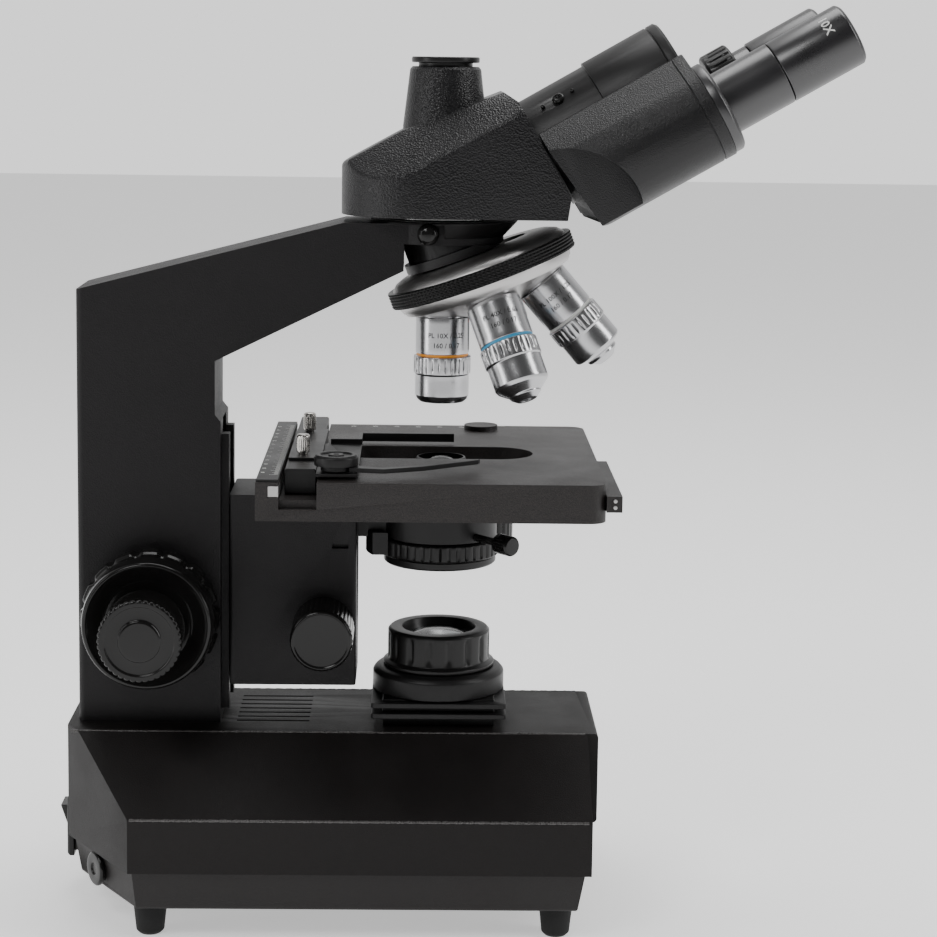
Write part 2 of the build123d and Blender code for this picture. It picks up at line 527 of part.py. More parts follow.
def stage_knob(r_top, r, z0, z1, shaft_r):
    """One of the two coaxial knobs under the stage, with its shaft up into the stage plate."""
    plane = Plane(origin=(COAX_X, COAX_Y, 0), z_dir=(0, 0, 1))
    body = turned(plane, [(0, z0 + 1), (1, z0), (r - 1.2, z0), (r, z0 + 1.2), (r, z1 - 4), (r_top, z1),
                          (0, z1)])
    body = scalloped(body, plane, r + 0.9, 1.5, z0 + 1.0, z1 - 3.0, 28)
    return body + rod(plane, shaft_r, z1 - 0.1, 188.0)


def y_drive_knob():
    """Upper knob: moves the stage plate; hollow, so the lower knob's shaft passes through."""
    knob = stage_knob(9.0, 12.5, 160.5, 172.0, COAX_SHAFT)
    return knob - upright(COAX_X, COAX_Y, COAX_INNER + RUN, 150, 200)


def x_drive_knob():
    """Lower knob: moves the slide carriage; its shaft runs up inside the upper knob."""
    return stage_knob(11.0, 15.5, 141.0, 159.8, COAX_INNER)


# ---- condenser
def ring_z(r_in, r, z0, z1):
    """Plain ring about the optical axis."""
    return upright(0, 0, r, z0, z1) - upright(0, 0, r_in, z0 - 1, z1 + 1)


def condenser_carrier():
    """Slide block in the bracket, the ring that holds the condenser, and the fork for the filter."""
    body = block(-46.2, -39.5, -12.0, 12.0, 112.0, 169.0) + block(-40, -18, -8.0, 8.0, SEAT_Z + 0.2, 169.0)
    body -= upright(0, 0, SEAT_R + RUN, 150, 180)
    fork = ring_z(IRIS_R + 0.6, 32.4, IRIS_Z0 + 1.3, SEAT_Z + 3) & block(-40, 22, -14, 40, 150, 170)
    body += fork + ring_z(SEAT_R + RUN, 24.8, SEAT_Z + 0.2, SEAT_TOP)
    body += upright(0, FILTER_PIVOT_Y, FILTER_PIN, FILTER_Z0 + 0.4, SEAT_Z)
    body -= block(-3.4, 3.4, 20, IRIS_R + 0.6, 140, SEAT_Z - 0.1)
    return body - rod(clamp_plane(), CLAMP_R + RUN, 15, 40)


def clamp_plane():
    return Plane(origin=(0, 0, CLAMP_Z), x_dir=(0, 0, 1), z_dir=CLAMP_DIR)


def condenser_clamp():
    """Clamp screw that holds the condenser in its ring."""
    plane = clamp_plane()
    body = turned(plane, [(0, 20.8), (CLAMP_R, 20.8), (CLAMP_R, 39.5), (3.6, 39.5), (4.3, 40.3), (4.3, 48.2),
                          (3.6, 49.0), (0, 49.0)])
    return scalloped(body, plane, 4.8, 0.8, 40.8, 47.6, 14)


def condenser_body():
    """Condenser mount: neck for the iris ring, body held in the carrier, lens cone above."""
    return turned(Plane.XY, [(9.8, IRIS_Z0 + 0.2), (NECK_R, IRIS_Z0 + 0.2), (NECK_R, SEAT_Z),
                             (SEAT_R, SEAT_Z),
                             (SEAT_R, SEAT_TOP + 1), (14.0, 179.0), (12.4, 190.5), (10.6, 194.6),
                             (9.8, 194.6)])


def condenser_lens():
    ball_r = 11.0
    dome = (Pos(0, 0, 194.9 - ball_r) * Sphere(ball_r)) & upright(0, 0, 9.7, 190.0, 200.0)
    return dome + upright(0, 0, 9.75, 186.0, 191.0)


def iris_ring():
    """Knurled ring under the condenser with the iris lever."""
    bore = NECK_R + RUN
    body = turned(Plane.XY, [(bore, IRIS_Z0), (IRIS_R - 0.8, IRIS_Z0), (IRIS_R, IRIS_Z0 + 0.8),
                             (IRIS_R, IRIS_Z1 - 0.8), (IRIS_R - 0.8, IRIS_Z1), (bore, IRIS_Z1)])
    body = scalloped(body, Plane.XY, IRIS_R + 0.9, 1.7, IRIS_Z0 + 0.6, IRIS_Z1 - 0.6, 40)
    return body + block(24.0, 33.0, -1.5, 1.5, 155, 158)


def filter_holder():
    """Swing-out filter ring on the carrier's pin."""
    z0, z1 = FILTER_Z0, FILTER_Z1
    ring = turned(Plane.XY, [(16.0, z0), (23.7, z0), (24.5, z0 + 0.8), (24.5, z1), (16.0, z1)])
    ear = upright(0, FILTER_PIVOT_Y, 4.2, z0, z1) + block(-4.2, 4.2, 22.0, FILTER_PIVOT_Y, z0, z1)
    return ring + ear - upright(0, FILTER_PIVOT_Y, FILTER_PIN + RUN, 140, 160)


# ---- nosepiece
def nosepiece_base():
    """Fixed part under the arm's nose: a wedge, the tilted disc and the turret's axle."""
    below = block(-16.9, 60, -60, 60, 200, ARM_NOSE_Z)
    disc = rod(TURRET, 23.7, 34.2, 38.2, DISC_SHIFT)
    wedge = rod(TURRET, 21.5, 20.0, 34.3, DISC_SHIFT) + rod(TURRET, 5.0, 30, 62.5)
    return ((disc + wedge) & below) - upright(0, 0, 7.5, 262, 300)


def objective_plane(azimuth):
    """Plane at the nosepiece apex whose normal points down an objective's axis."""
    a = math.radians(azimuth)
    local = TURRET.x_dir * (SA * math.cos(a)) + TURRET.y_dir * (SA * math.sin(a)) + TURRET.z_dir * CA
    side = TURRET.y_dir * math.cos(a) - TURRET.x_dir * math.sin(a)
    return Plane(origin=(0, 0, APEX_Z), x_dir=side, z_dir=local)


def seat_t(r):
    """Depth of the cone on which the objectives seat, at radius r about the nosepiece axis."""
    return OBJ_L * CA + SA / CA * (OBJ_L * SA - r)


def turret():
    """Bright revolving shell with four threaded seats square to the objectives."""
    body = turned(TURRET, [(5.0 + RUN, 38.7), (24.5, 38.7), (33.5, 39.6), (37.0, 40.9), (38.8, 42.6),
                           (39.4, RING_T0 + 0.2), (39.4, RING_T1 - 0.2),
                           (38.6, seat_t(38.6) - 1.6), (37.0, seat_t(37.0)), (5.0 + RUN, seat_t(5.0))])
    for azimuth, _ in OBJECTIVES.values():
        plane = objective_plane(azimuth)
        body -= rod(plane, RMS_R + 0.04, OBJ_L - 5.0, OBJ_L + 20) + rod(plane, 8.0, 20, OBJ_L + 20)
    return body


def turret_ring():
    """Knurled black grip ring pressed on the turret."""
    return turned(TURRET, [(39.4, RING_T0), (TURRET_R - 0.9, RING_T0), (TURRET_R, RING_T0 + 0.9),
                           (TURRET_R, RING_T1 - 0.9), (TURRET_R - 0.9, RING_T1), (39.4, RING_T1)])


def objective_profile(name):
    """Outside profile of an objective as (radius, distance below the shoulder)."""
    if name == "objective_10x":
        return [(11.6, 0), (11.6, 15.6), (11.2, 15.8), (11.2, 16.6), (12.4, 17.0), (12.4, 24.4),
                (11.7, 24.9),
                (11.7, 34.0), (11.0, 35.6), (9.6, 36.9)]
    if name == "objective_40x":
        return [(11.7, 0), (11.7, 17.4), (11.3, 17.6), (11.3, 18.6), (12.4, 19.0), (12.4, 26.4),
                (11.8, 27.0),
                (11.8, 36.5), (11.0, 38.0), (7.0, 41.2), (6.8, 42.0), (4.2, 44.0)]
    if name == "objective_100x":
        return [(11.7, 0), (11.7, 18.6), (11.3, 18.8), (11.3, 19.8), (12.4, 20.2), (12.4, 27.4),
                (11.8, 28.0),
                (11.8, 37.5), (11.2, 38.4), (7.6, 40.2), (7.4, 41.6), (4.0, 44.5)]
    return [(11.6, 0), (11.6, 7.0), (11.2, 7.2), (11.2, 8.2), (12.4, 8.6), (12.4, 15.6), (11.6, 16.0),
            (11.6, 22.5), (10.6, 25.0)]


def objective(name):
    azimuth, length = OBJECTIVES[name]
    profile = objective_profile(name)
    tip_r = profile[-1][0] - 1.6
    outline = [(7.0, -4.8), (RMS_R, -4.8), (RMS_R, 0)] + profile + [(tip_r, length), (tip_r, length - 1.6)]
    outline += [(7.0, length - 9.0)]
    return turned(objective_plane(azimuth), [(r, OBJ_L + t) for r, t in outline])


# ---- head
def head_form():
    """Head casting: round at the back, sloping roof, flat inclined front face."""
    outline = [(-60, HEAD_LOW), (-60, 322), (-44.0, 322), (-18.0, 336.4), (24.3, 352.9),
               (FACE_TOP_X, FACE_TOP_Z),
               (52.8, 309.9), (51.4, HEAD_LOW)]
    body = side_plate(outline, -60, 60)
    tower = upright(-10, 0, HEAD_HALF, HEAD_LOW, 360) + block(-10, 60, -HEAD_HALF, HEAD_HALF, HEAD_LOW, 360)
    body = body & tower
    for side in (-1, 1):
        slope = Plane(origin=(-18, side * HEAD_HALF, 317.5), x_dir=(0.87, 0, 0.49),
                      z_dir=(-0.38, side * 0.62, 0.69))
        body -= slope * Pos(0, 0, 40) * Box(200, 200, 80)
    return body


def head_body():
    body = head_form()
    rear = [e for e in body.edges() if e.center().Z > HEAD_LOW + 6 and e.center().X < 22]
    body = fillet(rear, 3.0)
    body += turned(Plane.XY, [(PHOTO_BORE, 318), (18.6, 318), (18.0, 338), (PHOTO_R, PHOTO_TOP - 1.2),
                              (PHOTO_R - 1.0, PHOTO_TOP), (PHOTO_BORE, PHOTO_TOP)])
    body -= upright(0, 0, PHOTO_BORE, 300, PHOTO_TOP + 1)
    body -= block(-15.5, 22, -15.5, 15.5, HEAD_LOW + 5, 331)
    return body - rod(HUB, 12.0, -40, 1)


def head_dovetail():
    return turned(Plane.XY, [(14.0, 291.4), (18.5, 291.4), (20.95, 298.2), (20.95, 298.95),
                             (DOVETAIL_R, 298.95),
                             (DOVETAIL_R, HEAD_LOW), (14.0, HEAD_LOW)])


def beam_prism():
    z = HEAD_LOW + 5
    return side_plate([(-13, z), (13, z), (13, z + 24), (0, z + 24), (-13, z + 11)], -13, 13)


def photo_cap():
    """Plug that closes the camera tube."""
    r = PHOTO_BORE - RUN
    return turned(Plane.XY, [(0, 354), (r, 354), (r, 364.8), (14.2, 364.8), (14.5, 365.2), (14.5, 366.9),
                             (14.1, 367.3), (12.6, 367.3), (12.2, 366.5), (0, 366.5)])


def binocular_hub():
    """Fixed axle housing of the two eyetube wings, with the dark joint plate at its back."""
    body = turned(HUB, [(0, 0), (HUB_R - 1.2, 0), (HUB_R - 1.2, HUB_STEP_S), (HUB_R, HUB_STEP_S + 0.4),
                        (HUB_R, WING_S - 0.6), (HUB_R - 0.6, WING_S), (HUB_R, WING_S + 0.6),
                        (HUB_R, PLATE_S - 1.2),
                        (HUB_R - 1.2, PLATE_S), (0, PLATE_S)])
    for s, r in ((8.3, 1.3), (15.5, 2.4), (22.2, 1.3)):
        for side in (-1, 1):
            turn = Rot(0, 90, 0) * Rot(side * 42, 0, 0)
            body -= HUB * Pos(side * 15.5, 17.0, s) * turn * Cylinder(r * 0.8, 6)
    return body - rod(HUB, 12.0, -1, WING_S - 4)


def wing_section(shrink, side):
    """Wing outline in the hub's plane: a round lobe about the eyetube blended to the hub."""
    hub, lobe = HUB_R - shrink, WING_R - shrink
    gap = math.hypot(TUBE_Y, TUBE_N)
    lean = math.degrees(math.atan2(TUBE_N, -TUBE_Y))
    swing = math.degrees(math.acos((hub - lobe) / gap))
    pts = []
    for turn in (lean - swing, lean + swing):
        c, s = math.cos(math.radians(turn)), math.sin(math.radians(turn))
        pts.append(((hub * c, hub * s), (-TUBE_Y + lobe * c, TUBE_N + lobe * s)))
    (a0, a1), (b0, b1) = pts
    web = make_face(Polyline((0, 0), a0, a1, b1, b0, close=True))
    face = web + Circle(hub) + Pos(-TUBE_Y, TUBE_N) * Circle(lobe)
    return face if side < 0 else mirror(face, Plane.YZ)


def wing(side):
    """Eyetube carrier that swings about the hub to set the eye spacing."""
    core = extrude(wing_section(0, side), amount=WING_S - 0.8)
    core += Pos(0, 0, WING_S - 0.8) * extrude(wing_section(0.7, side), amount=0.8)
    core += Pos(0, 0, WING_S) * extrude(wing_section(0, side), amount=PLATE_S - WING_S)
    core -= Pos(0, 0, 30) * Cylinder(HUB_R + GAP, 200)
    keep = Pos(side * 60, -40, 30) * Box(100, 100, 200)
    core = core & keep
    core -= Pos(side * 65, SCALLOP_N, SCALLOP_S) * Rot(0, 90, 0) * Cylinder(SCALLOP_R, 50)
    core -= Pos(side * TUBE_Y, TUBE_N, 50) * Cylinder(TUBE_R - 1.5, 40)
    return HUB * (Pos(0, 0, 0.9) * core)


def tube_axis(side):
    return Plane(origin=HUB.origin + Vector(0, side * TUBE_Y, 0) + N * TUBE_N, x_dir=(0, 1, 0), z_dir=E)


def eyetube(side):
    """Eyetube with its base collar, bored for the eyepiece; the right one is turned down for its ring."""
    r = TUBE_R - 0.6 if side > 0 else TUBE_R
    collar = [(20.0, PLATE_S + 0.9), (20.0, PLATE_S + 4.6), (18.6, COLLAR_S), (r, COLLAR_S + 0.3)]
    end = EYE_S0 - 0.35
    return turned(tube_axis(side), [(11.62, PLATE_S + 0.9)] + collar + [(r, end), (11.62, end)])


def diopter_ring():
    """Focusing collar on one eyetube."""
    body = turned(tube_axis(1), [(TUBE_R - 0.55, 80.0), (17.2, 80.0), (18.0, 80.8), (18.0, 92.0),
                                 (17.2, 92.8),
                                 (TUBE_R - 0.55, 92.8)])
    return scalloped(body, tube_axis(1), 18.9, 1.7, 81.2, 91.6, 30)


def eyepiece(side):
    """Wide-field eyepiece: hood outside, sleeve pushed into the eyetube."""
    s0, s1, r = EYE_S0, EYE_S1, TUBE_R
    return turned(tube_axis(side), [(9.4, 76.0), (11.57, 76.0), (11.57, s0), (r, s0), (r, s1 - 1.6),
                                    (r - 1.4, s1 - 0.2),
                                    (r - 2.6, s1), (9.8, s1 - 3.6), (9.4, s1 - 4.0)])


def eye_lens(side):
    return rod(tube_axis(side), 9.38, EYE_S1 - 9.0, EYE_S1 - 5.0)


def main():
    os.makedirs("parts", exist_ok=True)
    single = [base_cover, base_pan, rubber_feet, rocker_bezel, rocker, power_inlet, fuse_holder, transformer,
              lamp_socket, halogen_lamp, brightness_dial, heat_plates, illuminator_collar, collector_ring,
              collector_lens, arm, head_socket, head_lock_screw, coarse_knobs, fine_knobs, stage_bracket,
              condenser_knobs, stage_base, stage_top, stage_rails, scale_bar, slide_carriage, slide_holder,
              thumb_screws, clip_drum, clip_arm, y_drive_knob, x_drive_knob, condenser_carrier,
              condenser_clamp,
              condenser_body, condenser_lens, iris_ring, filter_holder, nosepiece_base, turret, turret_ring,
              head_body, head_dovetail, beam_prism, photo_cap, binocular_hub, diopter_ring]
    for make in single:
        out(make.__name__, make())
    for name in OBJECTIVES:
        out(name, objective(name))
    for side, hand in ((-1, "left"), (1, "right")):
        for make in (wing, eyetube, eyepiece, eye_lens):
            out(f"{make.__name__}_{hand}", make(side))


if __name__ == "__main__":
    main()
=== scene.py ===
"""Looks of the trinocular microscope, built around its packed CAD frame.

Pieces are laid out in millimetres about the optical axis (X towards the observer, Z up)
and moved into the row frame, in metres, as their meshes are made.
"""
import json
import math

import bmesh
import bpy
from mathutils import Matrix, Vector


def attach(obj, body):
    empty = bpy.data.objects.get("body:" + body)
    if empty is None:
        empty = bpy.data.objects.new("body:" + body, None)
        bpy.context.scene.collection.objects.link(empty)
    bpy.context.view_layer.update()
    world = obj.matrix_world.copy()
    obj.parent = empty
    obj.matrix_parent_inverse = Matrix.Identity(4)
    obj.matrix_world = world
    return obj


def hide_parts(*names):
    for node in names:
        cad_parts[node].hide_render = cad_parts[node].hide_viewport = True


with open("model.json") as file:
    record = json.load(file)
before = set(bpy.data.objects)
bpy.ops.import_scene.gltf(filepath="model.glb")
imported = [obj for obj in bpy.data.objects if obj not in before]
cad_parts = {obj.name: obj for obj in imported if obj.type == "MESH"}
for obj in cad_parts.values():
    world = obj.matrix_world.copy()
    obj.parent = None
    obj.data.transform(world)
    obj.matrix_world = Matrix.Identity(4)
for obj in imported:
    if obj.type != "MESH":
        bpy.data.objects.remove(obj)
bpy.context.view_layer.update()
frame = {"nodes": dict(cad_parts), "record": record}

bl_info = {
    "name": "Trinocular microscope",
    "version": (1, 0, 0),
    "blender": (4, 5, 0),
    "location": "View3D > Sidebar > Microscope",
    "description": "Builds the microscope's visible pieces and its studio",
    "category": "Object",
}

MM = 0.001
AXIS = Vector((-3.85, -2.35, 0.0))
NODES = frame["nodes"]
BODY_OF = {node: body for body, nodes in frame["record"]["behaviour"]["bodies"].items() for node in nodes}


# ---------------------------------------------------------------- axes
class Axis3:
    """A turning axis: a point and three directions, in millimetres about the optical axis."""

    def __init__(self, origin, out, x_dir):
        self.origin, self.out = Vector(origin), Vector(out).normalized()
        self.x = (Vector(x_dir) - self.out * Vector(x_dir).dot(self.out)).normalized()
        self.y = self.out.cross(self.x)

    def at(self, x, y, t):
        return (self.origin + self.x * x + self.y * y + self.out * t + AXIS) * MM


ALPHA, TILT, APEX_Z, SHOULDER = math.radians(20.5), math.radians(30.0), 320.5, 64.5
SA, CA = math.sin(ALPHA), math.cos(ALPHA)
ALONG = Vector((math.cos(TILT), 0, math.sin(TILT)))
ABOVE = Vector((-math.sin(TILT), 0, math.cos(TILT)))
HUB_CENTRE = Vector((30.1, 0, 349.2)) - ABOVE * 26.0
UP = Axis3((0, 0, 0), (0, 0, 1), (1, 0, 0))
NOSE_AXIS = Axis3((0, 0, APEX_Z), (SA, 0, -CA), (CA, 0, SA))
HUB = Axis3(HUB_CENTRE, ALONG, (0, 1, 0))
TUBE_SPREAD, TUBE_DROP = 32.0, 16.4
TUBE = {side: Axis3(HUB_CENTRE + Vector((0, side * TUBE_SPREAD, 0)) - ABOVE * TUBE_DROP, ALONG, (0, 1, 0))
        for side in (-1, 1)}
HAND = {-1: "left", 1: "right"}


def standing(x, y):
    return Axis3((x, y, 0), (0, 0, 1), (1, 0, 0))


def sideways(x, z, side):
    return Axis3((x, 0, z), (0, side, 0), (1, 0, 0))


def objective_axis(azimuth):
    a = math.radians(azimuth)
    out = NOSE_AXIS.x * (SA * math.cos(a)) + NOSE_AXIS.y * (SA * math.sin(a)) + NOSE_AXIS.out * CA
    return Axis3((0, 0, APEX_Z), out, NOSE_AXIS.y * math.cos(a) - NOSE_AXIS.x * math.sin(a))


# ---------------------------------------------------------------- mesh making
def finish_mesh(name, bm, node_names, materials, body=None, sharp=38.0):
    """Makes the object, smooths it up to an angle and hands it to its body."""
    mesh = bpy.data.meshes.new(name)
    bmesh.ops.recalc_face_normals(bm, faces=bm.faces)
    bm.to_mesh(mesh)
    bm.free()
    obj = bpy.data.objects.new(name, mesh)
    bpy.context.scene.collection.objects.link(obj)
    for material in materials:
        mesh.materials.append(material)
    mesh.polygons.foreach_set("use_smooth", [True] * len(mesh.polygons))
    mesh.set_sharp_from_angle(angle=math.radians(sharp))
    nodes = [node_names] if isinstance(node_names, str) else list(node_names)
    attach(obj, body or BODY_OF[nodes[0]])
    if nodes and body is None:
        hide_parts(*nodes)
    return obj


def rounded(profile, radius=0.35):
    """A turned profile with each inner corner cut into a small round."""
    points = []
    for k, (r, t, *rest) in enumerate(profile):
        if k in (0, len(profile) - 1) or r < 0.01:
            points.append((r, t, *rest))
            continue
        here = Vector((r, t))
        before, after = Vector(profile[k - 1][:2]) - here, Vector(profile[k + 1][:2]) - here
        reach = min(radius, before.length * 0.42, after.length * 0.42)
        a, b = here + before.normalized() * reach, here + after.normalized() * reach
        incoming = profile[k - 1][2:] or rest
        for step in (0.0, 0.33, 0.67, 1.0):
            p = a.lerp(here, step).lerp(here.lerp(b, step), step)
            points.append((p.x, p.y, *(rest if step > 0.5 else incoming)))
    return points


def lathe_into(bm, axis, profile, steps=96, radius=0.35, shape=None, split=None):
    """Turns a profile of (radius, height, material index) about an axis.

    shape(angle, r, t) gives the true radius, and split is the longest step in height.
    """
    points = rounded(profile, radius) if radius else list(profile)
    if split:
        dense = []
        for p, q in zip(points, points[1:]):
            cuts = max(1, int(abs(q[1] - p[1]) / split))
            dense += [(p[0] + (q[0] - p[0]) * c / cuts, p[1] + (q[1] - p[1]) * c / cuts, *p[2:])
                      for c in range(cuts)]
        points = dense + [points[-1]]
    rings = []
    for point in points:
        r, t = point[:2]
        if r < 0.01:
            rings.append([bm.verts.new(axis.at(0, 0, t))])
            continue
        ring = []
        for k in range(steps):
            a = 2 * math.pi * k / steps
            true = shape(a, r, t) if shape else r
            ring.append(bm.verts.new(axis.at(true * math.cos(a), true * math.sin(a), t)))
        rings.append(ring)
    for k, (low, high) in enumerate(zip(rings, rings[1:])):
        index = points[k][2] if len(points[k]) > 2 else 0
        for j in range(steps):
            n = (j + 1) % steps
            loop = [low[j % len(low)], low[n % len(low)], high[n % len(high)], high[j % len(high)]]
            loop = list(dict.fromkeys(loop))
            if len(loop) > 2:
                face = bm.faces.new(loop)
                face.material_index = index


def lathe(name, nodes, axis, profile, materials, **how):
    bm = bmesh.new()
    body = how.pop("body", None)
    lathe_into(bm, axis, profile, **how)
    return finish_mesh(name, bm, nodes, materials, body)


def flutes(count, depth, t0, t1, r0=0.0, wide=0.5, ease=1.2):
    """Radius law for round flutes cut between two heights, outside radius r0."""
    def law(a, r, t):
        if r < r0:
            return r
        ramp = max(0.0, min(1.0, (t - t0) / ease, (t1 - t) / ease))
        phase = (a * count / (2 * math.pi)) % 1.0
        cut = max(0.0, math.cos(math.pi * min(1.0, abs(phase - 0.5) / wide)))
        return r - depth * ramp * cut
    return law


def box_into(bm, corners, bevel=0.0):
    """Box between two corners in millimetres about the optical axis, with its edges rounded if asked."""
    (x0, y0, z0), (x1, y1, z1) = corners
    made = bmesh.ops.create_cube(bm, size=1.0)["verts"]
    middle = (Vector((x0 + x1, y0 + y1, z0 + z1)) / 2 + AXIS) * MM
    size = Vector((abs(x1 - x0), abs(y1 - y0), abs(z1 - z0))) * MM
    for v in made:
        v.co = Vector((v.co.x * size.x, v.co.y * size.y, v.co.z * size.z)) + middle
    if bevel:
        edges = list({e for v in made for e in v.link_edges})
        bmesh.ops.bevel(bm, geom=edges, offset=bevel * MM, segments=2, profile=0.6, affect="EDGES")


def copied(node):
    """The CAD node's mesh as a bmesh, with its flat faces joined up again."""
    bm = bmesh.new()
    bm.from_mesh(NODES[node].data)
    bmesh.ops.remove_doubles(bm, verts=bm.verts, dist=2e-6)
    bmesh.ops.dissolve_limit(bm, angle_limit=math.radians(0.6), verts=bm.verts, edges=bm.edges)
    return bm


def eased(node, material, width=0.6, segments=3, angle=32.0, reshape=None):
    """A piece cast on its CAD node's form, with its sharp edges eased."""
    bm = copied(node)
    if reshape:
        reshape(bm)
    obj = finish_mesh(node + "_skin", bm, node, [material], sharp=44.0)
    bevel = obj.modifiers.new("edges", "BEVEL")
    bevel.width, bevel.segments, bevel.limit_method = width * MM, segments, "ANGLE"
    bevel.angle_limit, bevel.use_clamp_overlap, bevel.harden_normals = math.radians(angle), True, True
    bevel.miter_outer = "MITER_ARC"
    return obj


def add_figures(bm, name, words, size):
    """Adds flat printed figures, centred on the origin, and returns their vertices."""
    curve = bpy.data.curves.new(name, "FONT")
    curve.body, curve.size, curve.offset, curve.resolution_u = words, size, size * 0.012, 2
    curve.align_x, curve.align_y = "CENTER", "CENTER"
    holder = bpy.data.objects.new(name, curve)
    bpy.context.scene.collection.objects.link(holder)
    bpy.context.view_layer.update()
    mesh = bpy.data.meshes.new_from_object(holder.evaluated_get(bpy.context.evaluated_depsgraph_get()))
    start = len(bm.verts)
    bm.from_mesh(mesh)
    bm.verts.ensure_lookup_table()
    bpy.data.objects.remove(holder)
    bpy.data.curves.remove(curve)
    bpy.data.meshes.remove(mesh)
    return bm.verts[start:]


def lettering(name, words, size, axis, places, material, body, depth=0.05):
    """Small printed figures laid on a surface, as one mesh; places are (text x, y, t) on the axis's plane."""
    bm = bmesh.new()
    for word, (x, y, t) in zip(words, places):
        for v in add_figures(bm, name, word, size):
            v.co = axis.at(x + v.co.x, y + v.co.y, t)
    made = bmesh.ops.extrude_face_region(bm, geom=bm.faces[:])
    shift = axis.out * (-depth * MM)
    bmesh.ops.translate(bm, verts=[g for g in made["geom"] if isinstance(g, bmesh.types.BMVert)], vec=shift)
    return finish_mesh(name, bm, [], [material], body)


def ring_text(name, words, size, axis, radius, t, angle, material, body, flip=1):
    """Small figures wrapped round a cylinder; flip 1 has their tops towards the axis's end, -1 its start."""
    bm = bmesh.new()
    add_figures(bm, name, words, size)
    long_edges = [e for e in bm.edges if e.calc_length() > size * 0.25]
    bmesh.ops.subdivide_edges(bm, edges=long_edges, cuts=2)
    for v in bm.verts:
        a = angle + flip * v.co.x / radius
        v.co = axis.at(radius * math.cos(a), radius * math.sin(a), t + flip * v.co.y)
    return finish_mesh(name, bm, [], [material], body)


# ---------------------------------------------------------------- finishes
class Graph:
    """Short way to add shader nodes and join them."""

    def __init__(self, name):
        self.material = bpy.data.materials.new(name)
        self.material.use_nodes = True
        self.tree = self.material.node_tree
        self.shader = self.tree.nodes["Principled BSDF"]
        self.where = self.add("ShaderNodeTexCoord").outputs["Object"]

    def add(self, kind, **values):
        node = self.tree.nodes.new(kind)
        for key, value in values.items():
            setattr(node, key, value)
        return node

    def link(self, a, b):
        self.tree.links.new(a, b)

    def noise(self, scale, detail=3.0, rough=0.5, stretch=(1, 1, 1)):
        mapping = self.add("ShaderNodeMapping")
        mapping.inputs["Scale"].default_value = stretch
        self.link(self.where, mapping.inputs["Vector"])
        node = self.add("ShaderNodeTexNoise")
        for key, value in (("Scale", scale), ("Detail", detail), ("Roughness", rough)):
            node.inputs[key].default_value = value
        self.link(mapping.outputs["Vector"], node.inputs["Vector"])
        return node.outputs["Fac"]

    def cells(self, scale, smooth, warp):
        """Distance to the nearest of scattered points, pushed about by noise."""
        push = self.add("ShaderNodeTexNoise")
        push.inputs["Scale"].default_value = scale * 0.6
        self.link(self.where, push.inputs["Vector"])
        mixed = self.add("ShaderNodeVectorMath", operation="MULTIPLY_ADD")
        mixed.inputs[1].default_value = (warp / scale,) * 3
        self.link(push.outputs["Color"], mixed.inputs[0])
        self.link(self.where, mixed.inputs[2])
        node = self.add("ShaderNodeTexVoronoi", feature="SMOOTH_F1")
        node.inputs["Scale"].default_value, node.inputs["Smoothness"].default_value = scale, smooth
        self.link(mixed.outputs[0], node.inputs["Vector"])
        return node.outputs["Distance"]

    def ramp(self, source, low, high, a, b):
        """Maps a value range onto another, clamped."""
        node = self.add("ShaderNodeMapRange")
        for key, value in zip(("From Min", "From Max", "To Min", "To Max"), (low, high, a, b)):
            node.inputs[key].default_value = value
        self.link(source, node.inputs["Value"])
        return node.outputs["Result"]

    def blend(self, source, low, high):
        """Mixes two colours by a value."""
        node = self.add("ShaderNodeMix", data_type="RGBA")
        node.inputs[6].default_value, node.inputs[7].default_value = (*low, 1), (*high, 1)
        self.link(source, node.inputs[0])
        return node.outputs[2]

    def bump(self, height, strength, distance, before=None):
        node = self.add("ShaderNodeBump")
        node.inputs["Strength"].default_value, node.inputs["Distance"].default_value = strength, distance
        self.link(height, node.inputs["Height"])
        if before is not None:
            self.link(before, node.inputs["Normal"])
        return node.outputs["Normal"]


def tint(colour, factor):
    return tuple(min(1.0, c * factor) for c in colour)


